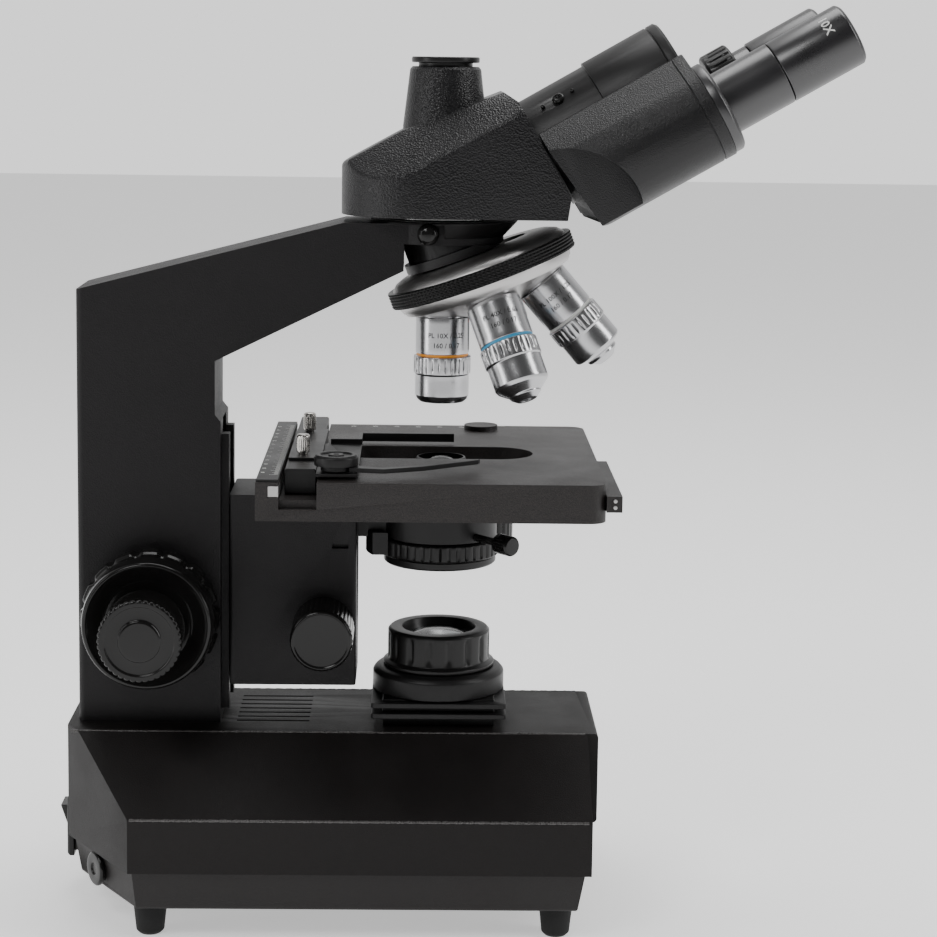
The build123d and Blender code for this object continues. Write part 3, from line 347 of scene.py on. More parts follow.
def finish(name, colour, rough, metal=0.0, mottle=0.14, grain=900.0, depth=0.05, coat=0.0, spread=0.08,
           stretch=(1, 1, 1), leather=0.0, leather_scale=620.0, shine=0.5, speckle=0.0):
    """A procedural finish: colour mottle, uneven gloss, fine relief, and wrinkles if it has them."""
    g = Graph(name)
    patchy = g.noise(38.0, 4.0, 0.55)
    fine = g.noise(grain, 3.0, 0.6, stretch)
    shade = g.blend(g.ramp(patchy, 0.3, 0.7, 0, 1), tint(colour, 1 - mottle), tint(colour, 1 + mottle))
    if speckle:
        grit = g.add("ShaderNodeMix", data_type="RGBA", blend_type="MULTIPLY")
        grit.inputs[0].default_value = 1.0
        g.link(shade, grit.inputs[6])
        dark, bright = (1 - speckle,) * 3, (1 + speckle * 2,) * 3
        g.link(g.blend(g.ramp(fine, 0.35, 0.65, 0, 1), dark, bright), grit.inputs[7])
        shade = grit.outputs[2]
    g.link(shade, g.shader.inputs["Base Color"])
    g.shader.inputs["Specular IOR Level"].default_value = shine
    uneven = g.add("ShaderNodeMath", operation="ADD")
    g.link(g.ramp(patchy, 0.25, 0.75, rough - spread, rough + spread), uneven.inputs[0])
    g.link(g.ramp(fine, 0.3, 0.7, -spread * 0.5, spread * 0.5), uneven.inputs[1])
    g.link(uneven.outputs[0], g.shader.inputs["Roughness"])
    g.shader.inputs["Metallic"].default_value = metal
    g.shader.inputs["Coat Weight"].default_value = coat
    g.shader.inputs["Coat Roughness"].default_value = 0.08
    normal = g.bump(fine, min(1.0, depth * 8), depth * MM)
    if leather:
        hills = g.cells(leather_scale, smooth=0.45, warp=0.55)
        normal = g.bump(hills, 1.0, leather * MM, normal)
    g.link(normal, g.shader.inputs["Normal"])
    return g.material


def glass(name, colour, rough=0.02):
    g = Graph(name)
    g.shader.inputs["Base Color"].default_value = (*colour, 1)
    g.link(g.ramp(g.noise(90.0), 0.3, 0.7, rough * 0.5, rough * 1.6), g.shader.inputs["Roughness"])
    g.shader.inputs["Transmission Weight"].default_value = 1.0
    g.shader.inputs["IOR"].default_value = 1.52
    return g.material


def make_finishes():
    """Every finish of the object, by its short name."""
    return {
        "cover": finish("cover paint", (0.0088, 0.0074, 0.0072), 0.46, grain=1900, depth=0.16, spread=0.06,
                        shine=0.2),
        # lighter grey than the cover paint: a painted highlight along the edges, with speckled wear
        "bead": finish("worn edge with painted highlight", (0.045, 0.042, 0.041), 0.3, grain=1500, depth=0.12, spread=0.1, shine=0.6,
                       speckle=0.5),
        "pan": finish("pan paint", (0.0145, 0.0126, 0.0124), 0.52, grain=1700, depth=0.16, shine=0.3),
        "arm": finish("arm paint", (0.0072, 0.0064, 0.0070), 0.46, grain=1900, depth=0.2, spread=0.06,
                      shine=0.26),
        "wrinkle": finish("wrinkle paint", (0.0062, 0.0058, 0.0066), 0.34, grain=2600, depth=0.02,
                          leather=0.2, leather_scale=1350, spread=0.06, shine=0.4),
        "satin": finish("satin black", (0.007, 0.0066, 0.0068), 0.4, grain=2400, depth=0.04, spread=0.06,
                        shine=0.32),
        "grained": finish("grained black", (0.0065, 0.0062, 0.0068), 0.36, grain=2600, depth=0.02,
                          leather=0.14, leather_scale=2000, spread=0.06, shine=0.38),
        "tube": finish("tube black", (0.0105, 0.0098, 0.0112), 0.3, grain=1800, depth=0.02, spread=0.05,
                       shine=0.95),
        "rubber": finish("rubber", (0.014, 0.014, 0.014), 0.75, grain=1100, depth=0.06, shine=0.3),
        "gloss": finish("gloss plastic", (0.0065, 0.0062, 0.006), 0.16, grain=700, depth=0.006, spread=0.04,
                        shine=0.3),
        "plastic": finish("dull plastic", (0.0075, 0.0072, 0.0072), 0.34, grain=2000, depth=0.03, shine=0.32),
        "stage": finish("stage coat", (0.0088, 0.0068, 0.0064), 0.44, mottle=0.1, grain=2000, depth=0.2,
                        spread=0.07, shine=0.42, speckle=0.6),
        "nickel": finish("nickel", (0.58, 0.56, 0.53), 0.2, metal=1.0, mottle=0.05, grain=700, depth=0.004),
        "chrome": finish("chrome", (0.50, 0.50, 0.51), 0.24, metal=1.0, mottle=0.03, grain=900, depth=0.002,
                         spread=0.015),
        "silver": finish("satin silver", (0.50, 0.49, 0.485), 0.36, metal=1.0, mottle=0.05, grain=1200,
                         depth=0.012),
        "alloy": finish("machined alloy", (0.62, 0.62, 0.61), 0.32, metal=1.0, grain=900, depth=0.01),
        "core": finish("core steel", (0.16, 0.15, 0.14), 0.55, metal=0.6, grain=700, depth=0.05,
                       stretch=(1, 9, 1)),
        "ceramic": finish("ceramic", (0.78, 0.76, 0.72), 0.5, grain=900, depth=0.02),
        "white": finish("white print", (0.72, 0.72, 0.70), 0.5, grain=900, depth=0.01),
        "orange": finish("orange band", (0.86, 0.32, 0.015), 0.35, grain=900, depth=0.01),
        "blue": finish("blue band", (0.035, 0.30, 0.52), 0.35, grain=900, depth=0.01),
        "red": finish("red band", (0.62, 0.05, 0.04), 0.35, grain=900, depth=0.01),
        "ink": finish("engraving ink", (0.012, 0.012, 0.012), 0.6, grain=900, depth=0.01),
        "glass": glass("lens glass", (0.93, 0.96, 0.96)),
        "frosted": glass("field lens glass", (0.82, 0.84, 0.85), 0.12),
    }


M = {}


# ---------------------------------------------------------------- base
DECK_EDGE, SIDE_EDGE = (34.6, 80.35), (75.0, 54.0)
EDGE_ROUND, BEAD_SINK = 1.8, 0.42
BEAD_R, BEAD_SWELL, BEAD_STEP, BEAD_SIDES = 0.68, 0.12, 0.9, 8
FEET_X, FEET_Y = (-120.7, 50.2), (-58.0, 58.0)
FUSE_CORNER, FUSE_RUN = Vector((-159.5, -26.0, 22.6)), Vector((31.2, -49.0, 0))
DIAL_X, DIAL_Z = 24.0, 42.5


def beads():
    """Thick paint gathers in a thin uneven line along the cover's long edges, on both sides."""
    bm = bmesh.new()
    slope = Vector((0, SIDE_EDGE[0] - DECK_EDGE[0], SIDE_EDGE[1] - DECK_EDGE[1])).normalized()
    face = Vector((0, -slope.z, slope.y))
    edges = ((DECK_EDGE, (Vector((0, 0, 1)), face), -157.0, 63.0),
             (SIDE_EDGE, (face, Vector((0, 1, 0))), -127.5, 62.5))
    turns = [n * 2 * math.pi / BEAD_SIDES for n in range(BEAD_SIDES)]
    for side in (-1, 1):
        for (y, z), normals, x0, x1 in edges:
            outward = (normals[0] + normals[1]).normalized()
            inset = EDGE_ROUND * (1 / outward.dot(face) - 1) + BEAD_SINK
            outward.y *= side
            centre = Vector((0, side * y, z)) - outward * inset
            across = outward.cross(Vector((1, 0, 0)))
            rings, count = [], int((x1 - x0) / BEAD_STEP)
            for k in range(count + 1):
                swell = BEAD_R + BEAD_SWELL * math.sin(k * 1.9 + y) * math.sin(k * 0.73)
                spot = centre + Vector((x0 + (x1 - x0) * k / count, 0, 0)) + AXIS
                ring = [spot + (across * math.cos(q) + outward * math.sin(q)) * swell for q in turns]
                rings.append([bm.verts.new(point * MM) for point in ring])
            for low, high in zip(rings, rings[1:]):
                for n in range(BEAD_SIDES):
                    after = (n + 1) % BEAD_SIDES
                    bm.faces.new((low[n], low[after], high[after], high[n]))
    finish_mesh("edge_beads", bm, [], [M["bead"]], "stand", sharp=80)


def build_base():
    eased("base_cover", M["cover"], 1.3)
    eased("base_pan", M["pan"], 0.8)
    beads()
    eased("rocker_bezel", M["plastic"], 0.5)
    eased("rocker", M["gloss"], 0.5)
    eased("power_inlet", M["plastic"], 0.4)
    foot = [(0, 5.0), (1.7, 5.0), (2.6, 4.6), (2.6, 0.0), (4.5, 0), (5.9, 1.4), (7.2, 13.7), (0, 13.7)]
    bm = bmesh.new()
    for x in FEET_X:
        for y in FEET_Y:
            lathe_into(bm, standing(x, y), foot, 48)
    finish_mesh("feet", bm, "rubber_feet", [M["rubber"]])
    out = Vector((FUSE_RUN.y, -FUSE_RUN.x, 0)).normalized()
    fuse = [(0, -14), (5.6, -14), (5.6, -2.7), (7.4, -2.7), (7.4, -1.5), (6.6, -0.9), (2.6, -0.9),
            (2.3, -1.6), (0, -1.6)]
    lathe("fuse_cap", "fuse_holder", Axis3(FUSE_CORNER + FUSE_RUN * 0.40, out, FUSE_RUN), fuse,
          [M["gloss"]], steps=48)
    dial = [(0, 63), (4, 63), (4, 75.6), (11, 75.6), (11, 80.5), (10, 81.5), (6, 81.5), (5.4, 81.0),
            (0, 81.0)]
    lathe("dial", "brightness_dial", sideways(DIAL_X, DIAL_Z, 1), dial, [M["gloss"]], steps=144,
          shape=flutes(24, 0.6, 76, 81, 10.5, 0.3))


# ---------------------------------------------------------------- illuminator
LENS_R, LENS_RIM_Z, LENS_RISE = 13.6, 114.2, 3.4


def build_illuminator():
    eased("heat_plates", M["satin"], 0.5)
    collar = [(17.0, 92.0), (28.8, 92.0), (28.8, 99.7), (27.4, 101.4), (25.2, 102.2), (17.0, 102.2)]
    lathe("collar", "illuminator_collar", UP, collar, [M["satin"]], steps=128, radius=0.6)
    ring = [(14.2, 96.55), (16.95, 96.55), (16.95, 102.55), (24.2, 102.55), (24.4, 104.15), (22.3, 105.15),
            (22.3, 117.8), (21.1, 119.0), (16.2, 119.0), (15.0, 114.6), (14.2, 114.4)]
    lathe("field_lens_ring", "collector_ring", UP, ring, [M["plastic"]], steps=192, split=1.6,
          shape=flutes(16, 1.0, 105.6, 117.4, 21.0, 0.36))
    lathe("field_diffuser", [], UP, [(0, 106.9), (14.0, 106.9), (14.0, 107.7), (0, 107.7)], [M["white"]],
          steps=64, radius=0, body=BODY_OF["collector_ring"])
    dome = [(LENS_R * math.cos(k * math.pi / 16), LENS_RIM_Z + LENS_RISE * math.sin(k * math.pi / 16))
            for k in range(8)]
    lens = [(0, 108.3), (14.1, 108.3), (14.1, LENS_RIM_Z), *dome, (0, 117.6)]
    lathe("field_lens", "collector_lens", UP, lens, [M["frosted"]], steps=96, radius=0)


# ---------------------------------------------------------------- stand
SOCKET_R, LOCK_X, LOCK_Z = 25.8, -6.8, 293.4
FOCUS_X, FOCUS_Z = -123.0, 129.2
DIMPLE_X, DIMPLE_Z = -117.8, 127.7
LIFT_X, LIFT_Z = -49.9, 123.3


def build_arm():
    eased("arm", M["arm"], 1.6, 4)
    eased("head_socket", M["satin"], 0.3, 2)
    y = math.sqrt(SOCKET_R ** 2 - LOCK_X ** 2) + 0.6
    screw = [(0, 21.6), (2, 21.6), (2, y + 0.6), (4.6, y + 0.6), (4.6, y + 3.2), (4.1, y + 4.4),
             (3.0, y + 5.5), (1.6, y + 6.1), (0, y + 6.2)]
    lathe("lock_screw", "head_lock_screw", sideways(LOCK_X, LOCK_Z, -1), screw, [M["gloss"]], steps=48)


def build_focus():
    coarse = [(5.9, 27.2), (28.5, 27.2), (29.5, 28.2), (29.5, 35.7), (28.2, 37.2), (27.6, 46.0), (27.2, 48.2),
              (26.4, 49.0), (25.4, 49.0), (24.8, 48.2), (24.6, 48.0), (19.0, 45.0), (18.4, 44.4), (5.9, 44.4)]
    fine = [(0, 51.5), (16.5, 51.5), (16.7, 68.0), (17.3, 70.0), (17.3, 74.1), (16.4, 74.7), (14.6, 74.7),
            (14.1, 74.2), (9.0, 74.2), (8.5, 74.8), (7.8, 75.0), (0, 75.0)]
    lobes = flutes(16, 1.5, 26, 38.2, 26.0, 0.4, 1.0)
    teeth = flutes(40, 0.6, 68.2, 75.5, 16.3, 0.42, 0.6)
    bm = bmesh.new()
    for side in (-1, 1):
        lathe_into(bm, sideways(FOCUS_X, FOCUS_Z, side), coarse, 224, 0.5, lobes, 2.2)
    sleeve = [(3.05, -44.4), (6.0, -44.4), (6.0, 44.4), (3.05, 44.4)]
    lathe_into(bm, sideways(FOCUS_X, FOCUS_Z, 1), sleeve, 48)
    finish_mesh("coarse_pair", bm, "coarse_knobs", [M["gloss"]])
    bm = bmesh.new()
    for side in (-1, 1):
        lathe_into(bm, sideways(FOCUS_X, FOCUS_Z, side), fine, 240, 0.4, teeth, 1.0)
    shaft = [(0, -51.6), (3.0, -51.6), (3.0, 51.6), (0, 51.6)]
    lathe_into(bm, sideways(FOCUS_X, FOCUS_Z, 1), shaft, 48)
    dimple = [(0, 75.02), (0.6, 75.02), (0.6, 74.9), (0, 74.9)]
    lathe_into(bm, sideways(DIMPLE_X, DIMPLE_Z, -1), dimple, 16, 0)
    finish_mesh("fine_pair", bm, "fine_knobs", [M["gloss"]])


def build_bracket():
    eased("stage_bracket", M["arm"], 1.0)
    knob = [(2.9, 20.6), (12.3, 20.6), (13.3, 21.6), (13.3, 46.6), (12.5, 47.7), (11.8, 48.0), (11.2, 47.5),
            (0, 47.4)]
    shaft = [(0, -45), (3.0, -45), (3.0, -11.6), (3.35, -11.5), (3.35, 11.5), (3.0, 11.6), (3.0, 45), (0, 45)]
    ribs = flutes(36, 0.42, 21.2, 47.0, 12.9, 0.42, 0.8)
    bm = bmesh.new()
    for side in (-1, 1):
        lathe_into(bm, sideways(LIFT_X, LIFT_Z, side), knob, 216, 0.35, ribs, 3.0)
    lathe_into(bm, sideways(LIFT_X, LIFT_Z, 1), shaft, 32)
    finish_mesh("condenser_pair", bm, "condenser_knobs", [M["gloss"]])


# ---------------------------------------------------------------- stage
SCREW_X, SCREWS_Y = -58.4, (-33.0, 27.0)
DRUM_X, DRUM_Y = -43.5, -62.0
DRIVE_X, DRIVE_Y, SHAFT_TOP = 19.0, 66.0, 188.0
PRINT = 0.04
BAR_TOP, JAW_TOP, PLATE_TOP = 197.3, 199.3, 196.2
BAR_X, PLATE_Y = -67.2, 75.6


def build_slide_mover():
    screw = [(0, 200.5), (2.0, 200.5), (2.0, 201.5), (2.8, 201.5), (2.8, 208.4), (2.2, 209.1), (1.4, 209.2),
             (0, 208.9)]
    grip = flutes(16, 0.22, 202.0, 208.2, 2.5, 0.42, 0.3)
    bm = bmesh.new()
    for y in SCREWS_Y:
        lathe_into(bm, standing(SCREW_X, y), screw, 96, 0.2, grip, 1.0)
    finish_mesh("jaw_screws", bm, "thumb_screws", [M["nickel"]])
    drum = [(0, 198.7), (2.2, 198.7), (2.2, 201.2), (9.1, 201.2), (9.1, 204.6), (8.3, 205.6), (6.7, 205.6),
            (6.3, 204.9), (3.4, 204.9), (3.0, 205.6), (1.2, 205.6), (1.0, 205.1), (0, 205.1)]
    lathe("spring_case", "clip_drum", standing(DRUM_X, DRUM_Y), drum, [M["satin"]], steps=72, radius=0.25)


def build_drive_knobs():
    """The two coaxial knobs under the stage; the lower one's shaft runs inside the upper one's."""
    knobs = (("x_knob", "x_drive_knob", 15.5, 11.0, 141.0, 159.8, 0, 2.0),
             ("y_knob", "y_drive_knob", 12.5, 9.0, 160.5, 172.0, 2.05, 4.0))
    for name, node, r, top, z0, z1, inner, shaft in knobs:
        knob = [(inner, z0 + 0.8), (inner + 2, z0), (r - 1.2, z0), (r, z0 + 1.2), (r, z1 - 4), (top, z1),
                (shaft, z1), (shaft, SHAFT_TOP), (inner, SHAFT_TOP)]
        lathe(name, node, standing(DRIVE_X, DRIVE_Y), knob, [M["gloss"]], steps=224,
              shape=flutes(28, 0.6, z0 + 1.0, z1 - 3.4, r - 1.5, 0.4, 0.8), split=2.0)


def build_scales():
    """White printed scales: along the bar, its vernier on the slide holder, and along the plate's edge."""
    top = BAR_TOP + PRINT
    bm = bmesh.new()
    for k in range(131):
        y = -65.0 + k
        length = 3.6 if k % 10 == 0 else 2.6 if k % 5 == 0 else 1.7
        box_into(bm, ((BAR_X - length, y - 0.11, top - 0.06), (BAR_X, y + 0.11, top)))
    for k in range(-10, 11):
        box_into(bm, ((-63.8, k * 0.9 - 2.11, JAW_TOP), (-61.6, k * 0.9 - 1.89, JAW_TOP + PRINT)))
    finish_mesh("scale_marks", bm, [], [M["white"]], BODY_OF["scale_bar"])
    tens = range(-60, 61, 10)
    along_bar = Axis3((-73.6, 0, 0), (0, 0, 1), (0, 1, 0))
    lettering("scale_numbers", [str(abs(n)) for n in tens], 2.2, along_bar, [(n, 0, top) for n in tens],
              M["white"], BODY_OF["scale_bar"])
    bm = bmesh.new()
    for k in range(71):
        x = -40.0 + k
        length = 2.4 if k % 10 == 0 else 1.3
        box_into(bm, ((x - 0.1, PLATE_Y - length, PLATE_TOP), (x + 0.1, PLATE_Y, PLATE_TOP + PRINT)))
    finish_mesh("edge_marks", bm, [], [M["white"]], BODY_OF["stage_top"])
    tens = range(20, 90, 10)
    along_edge = Axis3((0, 73.4, 0), (0, 0, 1), (1, 0, 0))
    lettering("edge_numbers", [str(n) for n in tens], 2.4, along_edge,
              [(n - 60.0, -2.6, PLATE_TOP + PRINT) for n in tens], M["white"], BODY_OF["stage_top"])


def build_stage():
    eased("stage_base", M["satin"], 0.4)
    eased("stage_top", M["stage"], 0.7)
    eased("stage_rails", M["silver"], 0.2, 2)
    eased("scale_bar", M["satin"], 0.25, 2)
    eased("slide_carriage", M["satin"], 0.4)
    eased("slide_holder", M["satin"], 0.2, 2)
    eased("clip_arm", M["satin"], 0.3)
    build_slide_mover()
    build_drive_knobs()
    build_scales()


# ---------------------------------------------------------------- condenser
CLAMP_Z = 162.6


def build_condenser():
    eased("condenser_carrier", M["satin"], 0.5)
    eased("filter_holder", M["plastic"], 0.3)
    mount = [(9.8, 152.3), (13.0, 152.3), (13.0, 160.1), (20.25, 160.1), (20.25, 172.0), (14.0, 179.0),
             (12.4, 190.5), (10.6, 194.6), (9.8, 194.6)]
    lathe("condenser_mount", "condenser_body", UP, mount, [M["satin"]], steps=96)
    grip = [(13.05, 152.1), (25.2, 152.1), (26.0, 152.9), (26.0, 159.0), (25.2, 159.8), (13.05, 159.8)]
    bm = bmesh.new()
    lathe_into(bm, UP, grip, 240, 0.3, flutes(42, 0.7, 152.8, 159.1, 25.0, 0.34, 0.4), 1.0)
    box_into(bm, ((24.5, -1.5, 155), (33.0, 1.5, 158)), bevel=0.6)
    finish_mesh("iris_grip", bm, "iris_ring", [M["plastic"]])
    axis = Axis3((0, 0, CLAMP_Z), (0.62, -0.785, 0), (0, 0, 1))
    screw = [(0, 20.8), (1.6, 20.8), (1.6, 39.5), (3.6, 39.5), (4.3, 40.3), (4.3, 48.2), (3.6, 49.0),
             (0, 49.0)]
    lathe("clamp", "condenser_clamp", axis, screw, [M["gloss"]], steps=96, radius=0.25,
          shape=flutes(16, 0.35, 40.6, 48.0, 3.9, 0.42, 0.4), split=2.0)


# ---------------------------------------------------------------- nosepiece
KNURLS, KNURL_ROW, KNURL_T0, KNURL_T1 = 131, 1.33, 43.4, 50.05
KNURL_R, KNURL_DEPTH = 40.6, 0.85
PIVOT_R, SCREW_RING_R = 5.05, 33.0


def knurled(a, r, t):
    """Radius law of the turret's grip: five rows of small square points."""
    if r < KNURL_R or not KNURL_T0 < t < KNURL_T1:
        return r
    u, v = (a * KNURLS / (2 * math.pi)) % 1.0, ((t - KNURL_T0) / KNURL_ROW) % 1.0
    edge = max(abs(u - 0.5), abs(v - 0.5)) * 2.0
    return r - KNURL_DEPTH * max(0.0, min(1.0, (edge - 0.4) / 0.5))


def build_nosepiece():
    eased("nosepiece_base", M["satin"], 0.4)
    eased("turret", M["silver"], 0.35)
    ring = [(39.4, 43.3), (41.5, 43.3), (41.8, 43.6), (41.8, 49.8), (41.5, 50.1), (39.4, 50.1)]
    bm = bmesh.new()
    lathe_into(bm, NOSE_AXIS, ring, KNURLS * 6, 0.1, knurled, 0.22)
    finish_mesh("knurl_ring", bm, "turret_ring", [M["plastic"]], sharp=60)
    t = SHOULDER * CA + SA / CA * (SHOULDER * SA - PIVOT_R)
    bm = bmesh.new()
    pivot = [(0, t - 2.4), (4.6, t - 2.4), (4.8, t - 1.6), (3.6, t - 1.2), (0, t - 1.2)]
    lathe_into(bm, NOSE_AXIS, pivot, 48)
    screw = [(0, -0.5), (1.9, -0.5), (1.9, 0.5), (1.5, 0.9), (0, 0.9)]
    for a in (58.0, 66.0, 150.0, 210.0):
        c, s = math.cos(math.radians(a)), math.sin(math.radians(a))
        across = NOSE_AXIS.x * SCREW_RING_R * c + NOSE_AXIS.y * SCREW_RING_R * s
        spot = NOSE_AXIS.origin + across + NOSE_AXIS.out * 41.6
        lathe_into(bm, Axis3(spot, -NOSE_AXIS.out, NOSE_AXIS.x), screw, 24)
    finish_mesh("turret_screws", bm, [], [M["chrome"]], BODY_OF["turret"])


# ---------------------------------------------------------------- objectives
GRIP_R = 12.4
# name: (azimuth, length, band colour, band height, aperture, outline)
OBJECTIVES = {
    "objective_10x": (180.0, 36.9, "orange", 15.8, "0.25",
                      [(11.6, 0), (11.6, 15.6), (11.2, 15.8), (11.2, 16.6), (12.4, 17.0), (12.4, 24.4),
                       (11.7, 24.9), (11.7, 34.0), (11.0, 35.6), (9.6, 36.9)]),
    "objective_40x": (90.0, 44.0, "blue", 17.6, "0.65",
                      [(11.7, 0), (11.7, 17.4), (11.3, 17.6), (11.3, 18.6), (12.4, 19.0), (12.4, 26.4),
                       (11.8, 27.0), (11.8, 36.5), (11.0, 38.0), (7.0, 41.2), (6.8, 42.0), (4.2, 44.0)]),
    "objective_100x": (0.0, 44.5, "white", 18.8, "1.25",
                       [(11.7, 0), (11.7, 18.6), (11.3, 18.8), (11.3, 19.8), (12.4, 20.2), (12.4, 27.4),
                        (11.8, 28.0), (11.8, 37.5), (11.2, 38.4), (7.6, 40.2), (7.4, 41.6), (4.0, 44.5)]),
    "objective_4x": (-90.0, 25.0, "red", 7.2, "0.10",
                     [(11.6, 0), (11.6, 7.0), (11.2, 7.2), (11.2, 8.2), (12.4, 8.6), (12.4, 15.6),
                      (11.6, 16.0), (11.6, 22.5), (10.6, 25.0)]),
}


def facing(azimuth):
    """Angle about an objective's axis that looks outwards from the nosepiece's side."""
    axis = objective_axis(azimuth)
    towards = Vector((0.15, -1, 0))
    return math.atan2(towards.dot(axis.y), towards.dot(axis.x))


def build_objectives():
    for name, (azimuth, length, band, band_at, aperture, outline) in OBJECTIVES.items():
        axis, short = objective_axis(azimuth), name == "objective_4x"
        grip = [t for r, t in outline if r == GRIP_R]
        turned = [(7.0, -4.8), (10.16, -4.8), (10.16, 0)]
        turned += [(r, t, 1) if t == band_at else (r, t) for r, t in outline]
        tip = outline[-1][0] - 1.6
        turned += [(tip, length), (tip, length - 1.6), (tip * 0.5, length - 1.9), (0, length - 2.0)]
        points = [(r, SHOULDER + t, *rest) for r, t, *rest in turned]
        law = flutes(26, 0.6, SHOULDER + grip[0] + 0.8, SHOULDER + grip[1] - 0.8, 12.0, 0.3, 0.5)
        lathe(name + "_barrel", name, axis, points, [M["chrome"], M[band]], steps=208, radius=0.28, shape=law,
              split=2.0)
        power = name.removeprefix("objective_").upper()
        rows = ("PL " + power + " / " + aperture, "160 / 0.17")
        for row, words in enumerate(rows[:1] if short else rows):
            height = SHOULDER + (4.6 if short else 7.4 + 4.3 * row)
            ring_text(name + "_figures_" + str(row), words, 3.0, axis, outline[0][0] + 0.05, height,
                      facing(azimuth), M["ink"], BODY_OF[name], -1)


# ---------------------------------------------------------------- head
HEEL_R, WING_LOW = 11.0, -36.9
HUB_SEAT_R, HUB_SCREW_ANGLE = 25.5, 42.4
BORE_R, HOOD_R = 11.62, 13.5


def round_heel(bm):
    """Rounds a wing's lower inner corner, seen from the side, by lifting the rim of its inner end."""
    for v in bm.verts:
        reach = v.co / MM - AXIS - HUB.origin
        across, along = reach.dot(ABOVE) - WING_LOW, reach.dot(ALONG)
        if 0 <= across < HEEL_R and along < HEEL_R:
            rim = HEEL_R - math.sqrt(HEEL_R ** 2 - (HEEL_R - across) ** 2)
            v.co += ALONG * MM * max(0.0, rim - along)


def build_hub():
    eased("binocular_hub", M["satin"], 0.5)
    bm = bmesh.new()
    for side in (-1, 1):
        a = math.radians(90.0 - side * HUB_SCREW_ANGLE)
        radial = HUB.x * math.cos(a) + HUB.y * math.sin(a)
        for s, r in ((8.3, 0.9), (15.5, 2.6), (22.2, 0.9)):
            seat = Axis3(HUB.origin + radial * HUB_SEAT_R + HUB.out * s, radial, HUB.out)
            screw = [(0, -2.5), (r, -2.5), (r, 0.1), (r * 0.85, 0.35), (r * 0.4, 0.35), (r * 0.3, -0.2),
                     (0, -0.2)]
            lathe_into(bm, seat, screw, 32, 0.1)
    finish_mesh("hub_screws", bm, [], [M["gloss"]], BODY_OF["binocular_hub"])


def build_head():
    eased("head_body", M["wrinkle"], 1.4, 4, 26.0)
    eased("head_dovetail", M["alloy"], 0.25)
    cap = [(0, 354), (11.55, 354), (11.55, 364.8), (14.2, 364.8), (14.5, 365.2), (14.5, 366.9), (14.1, 367.3),
           (12.6, 367.3), (12.2, 366.5), (0, 366.5)]
    lathe("cap", "photo_cap", UP, cap, [M["plastic"]], steps=96, radius=0.25)
    build_hub()
    hood = [(9.4, 76.0), (11.57, 76.0), (11.57, 100.6), (HOOD_R, 100.6), (HOOD_R, 132.8), (12.1, 134.2),
            (10.9, 134.4), (9.8, 130.8), (9.4, 130.4)]
    lens = [(0, 125.4), (9.38, 125.6), (9.38, 128.2), (7.0, 129.0), (3.6, 129.5), (0, 129.6)]
    for side, hand in HAND.items():
        eased("wing_" + hand, M["grained"], 1.2, 4, reshape=round_heel)
        r = 12.9 if side > 0 else HOOD_R
        tube = [(BORE_R, 68.6), (20.0, 68.6), (20.0, 72.3), (18.6, 73.6), (r, 73.9), (r, 100.25),
                (BORE_R, 100.25)]
        lathe("tube_" + hand, "eyetube_" + hand, TUBE[side], tube, [M["tube"]], steps=128, radius=0.5)
        lathe("hood_" + hand, "eyepiece_" + hand, TUBE[side], hood, [M["tube"]], steps=128, radius=0.5)
        lathe("lens_" + hand, "eye_lens_" + hand, TUBE[side], lens, [M["glass"]], steps=64, radius=0)
    ring_text("eyepiece_figures", "10X", 5.4, TUBE[-1], HOOD_R + 0.05, 124.5, math.radians(140), M["white"],
              BODY_OF["eyepiece_left"])
    ring = [(12.95, 80.0), (17.2, 80.0), (18.0, 80.8), (18.0, 92.0), (17.2, 92.8), (12.95, 92.8)]
    lathe("diopter_collar", "diopter_ring", TUBE[1], ring, [M["plastic"]], steps=210,
          shape=flutes(30, 0.7, 81.0, 91.8, 16.8, 0.34, 0.8), split=1.6)


# ---------------------------------------------------------------- hidden and carried-over nodes
CARRIED = {"transformer": "core", "lamp_socket": "ceramic", "halogen_lamp": "glass", "beam_prism": "glass",
           "condenser_lens": "glass"}


def dress_carried():
    for node, key in CARRIED.items():
        NODES[node].data.materials.clear()
        NODES[node].data.materials.append(M[key])


# ---------------------------------------------------------------- studio
FLOOR_HALF = 6.0


def area_light(name, place, target, size, watts):
    data = bpy.data.lights.new(name, "AREA")
    data.shape, data.size, data.size_y, data.energy = "RECTANGLE", size[0], size[1], watts
    lamp = bpy.data.objects.new(name, data)
    lamp.location = place
    lamp.rotation_euler = (Vector(target) - Vector(place)).to_track_quat("-Z", "Y").to_euler()
    bpy.context.scene.collection.objects.link(lamp)


def camera_rig(settings):
    """Camera at the viewing angle, worked out from its place, heading, pitch and roll."""
    cam = bpy.data.cameras.new("camera")
    cam.sensor_width, cam.lens, cam.shift_y = 36.0, settings.lens, settings.shift
    cam.clip_start, cam.clip_end = 0.05, 30.0
    turn, pitch, roll = settings.heading, settings.pitch, settings.roll
    right = Vector((math.cos(turn), math.sin(turn), 0))
    level = Vector((-math.sin(turn), math.cos(turn), 0))
    ahead = level * math.cos(pitch) - Vector((0, 0, 1)) * math.sin(pitch)
    up = level * math.sin(pitch) + Vector((0, 0, 1)) * math.cos(pitch)
    x_axis = right * math.cos(roll) + up * math.sin(roll)
    y_axis = up * math.cos(roll) - right * math.sin(roll)
    obj = bpy.data.objects.new("camera", cam)
    rotation = Matrix((x_axis, y_axis, -ahead)).transposed().to_4x4()
    place = (Vector(settings.place) + AXIS) * MM
    obj.matrix_world = Matrix.Translation(place) @ rotation
    bpy.context.scene.collection.objects.link(obj)
    bpy.context.scene.camera = obj


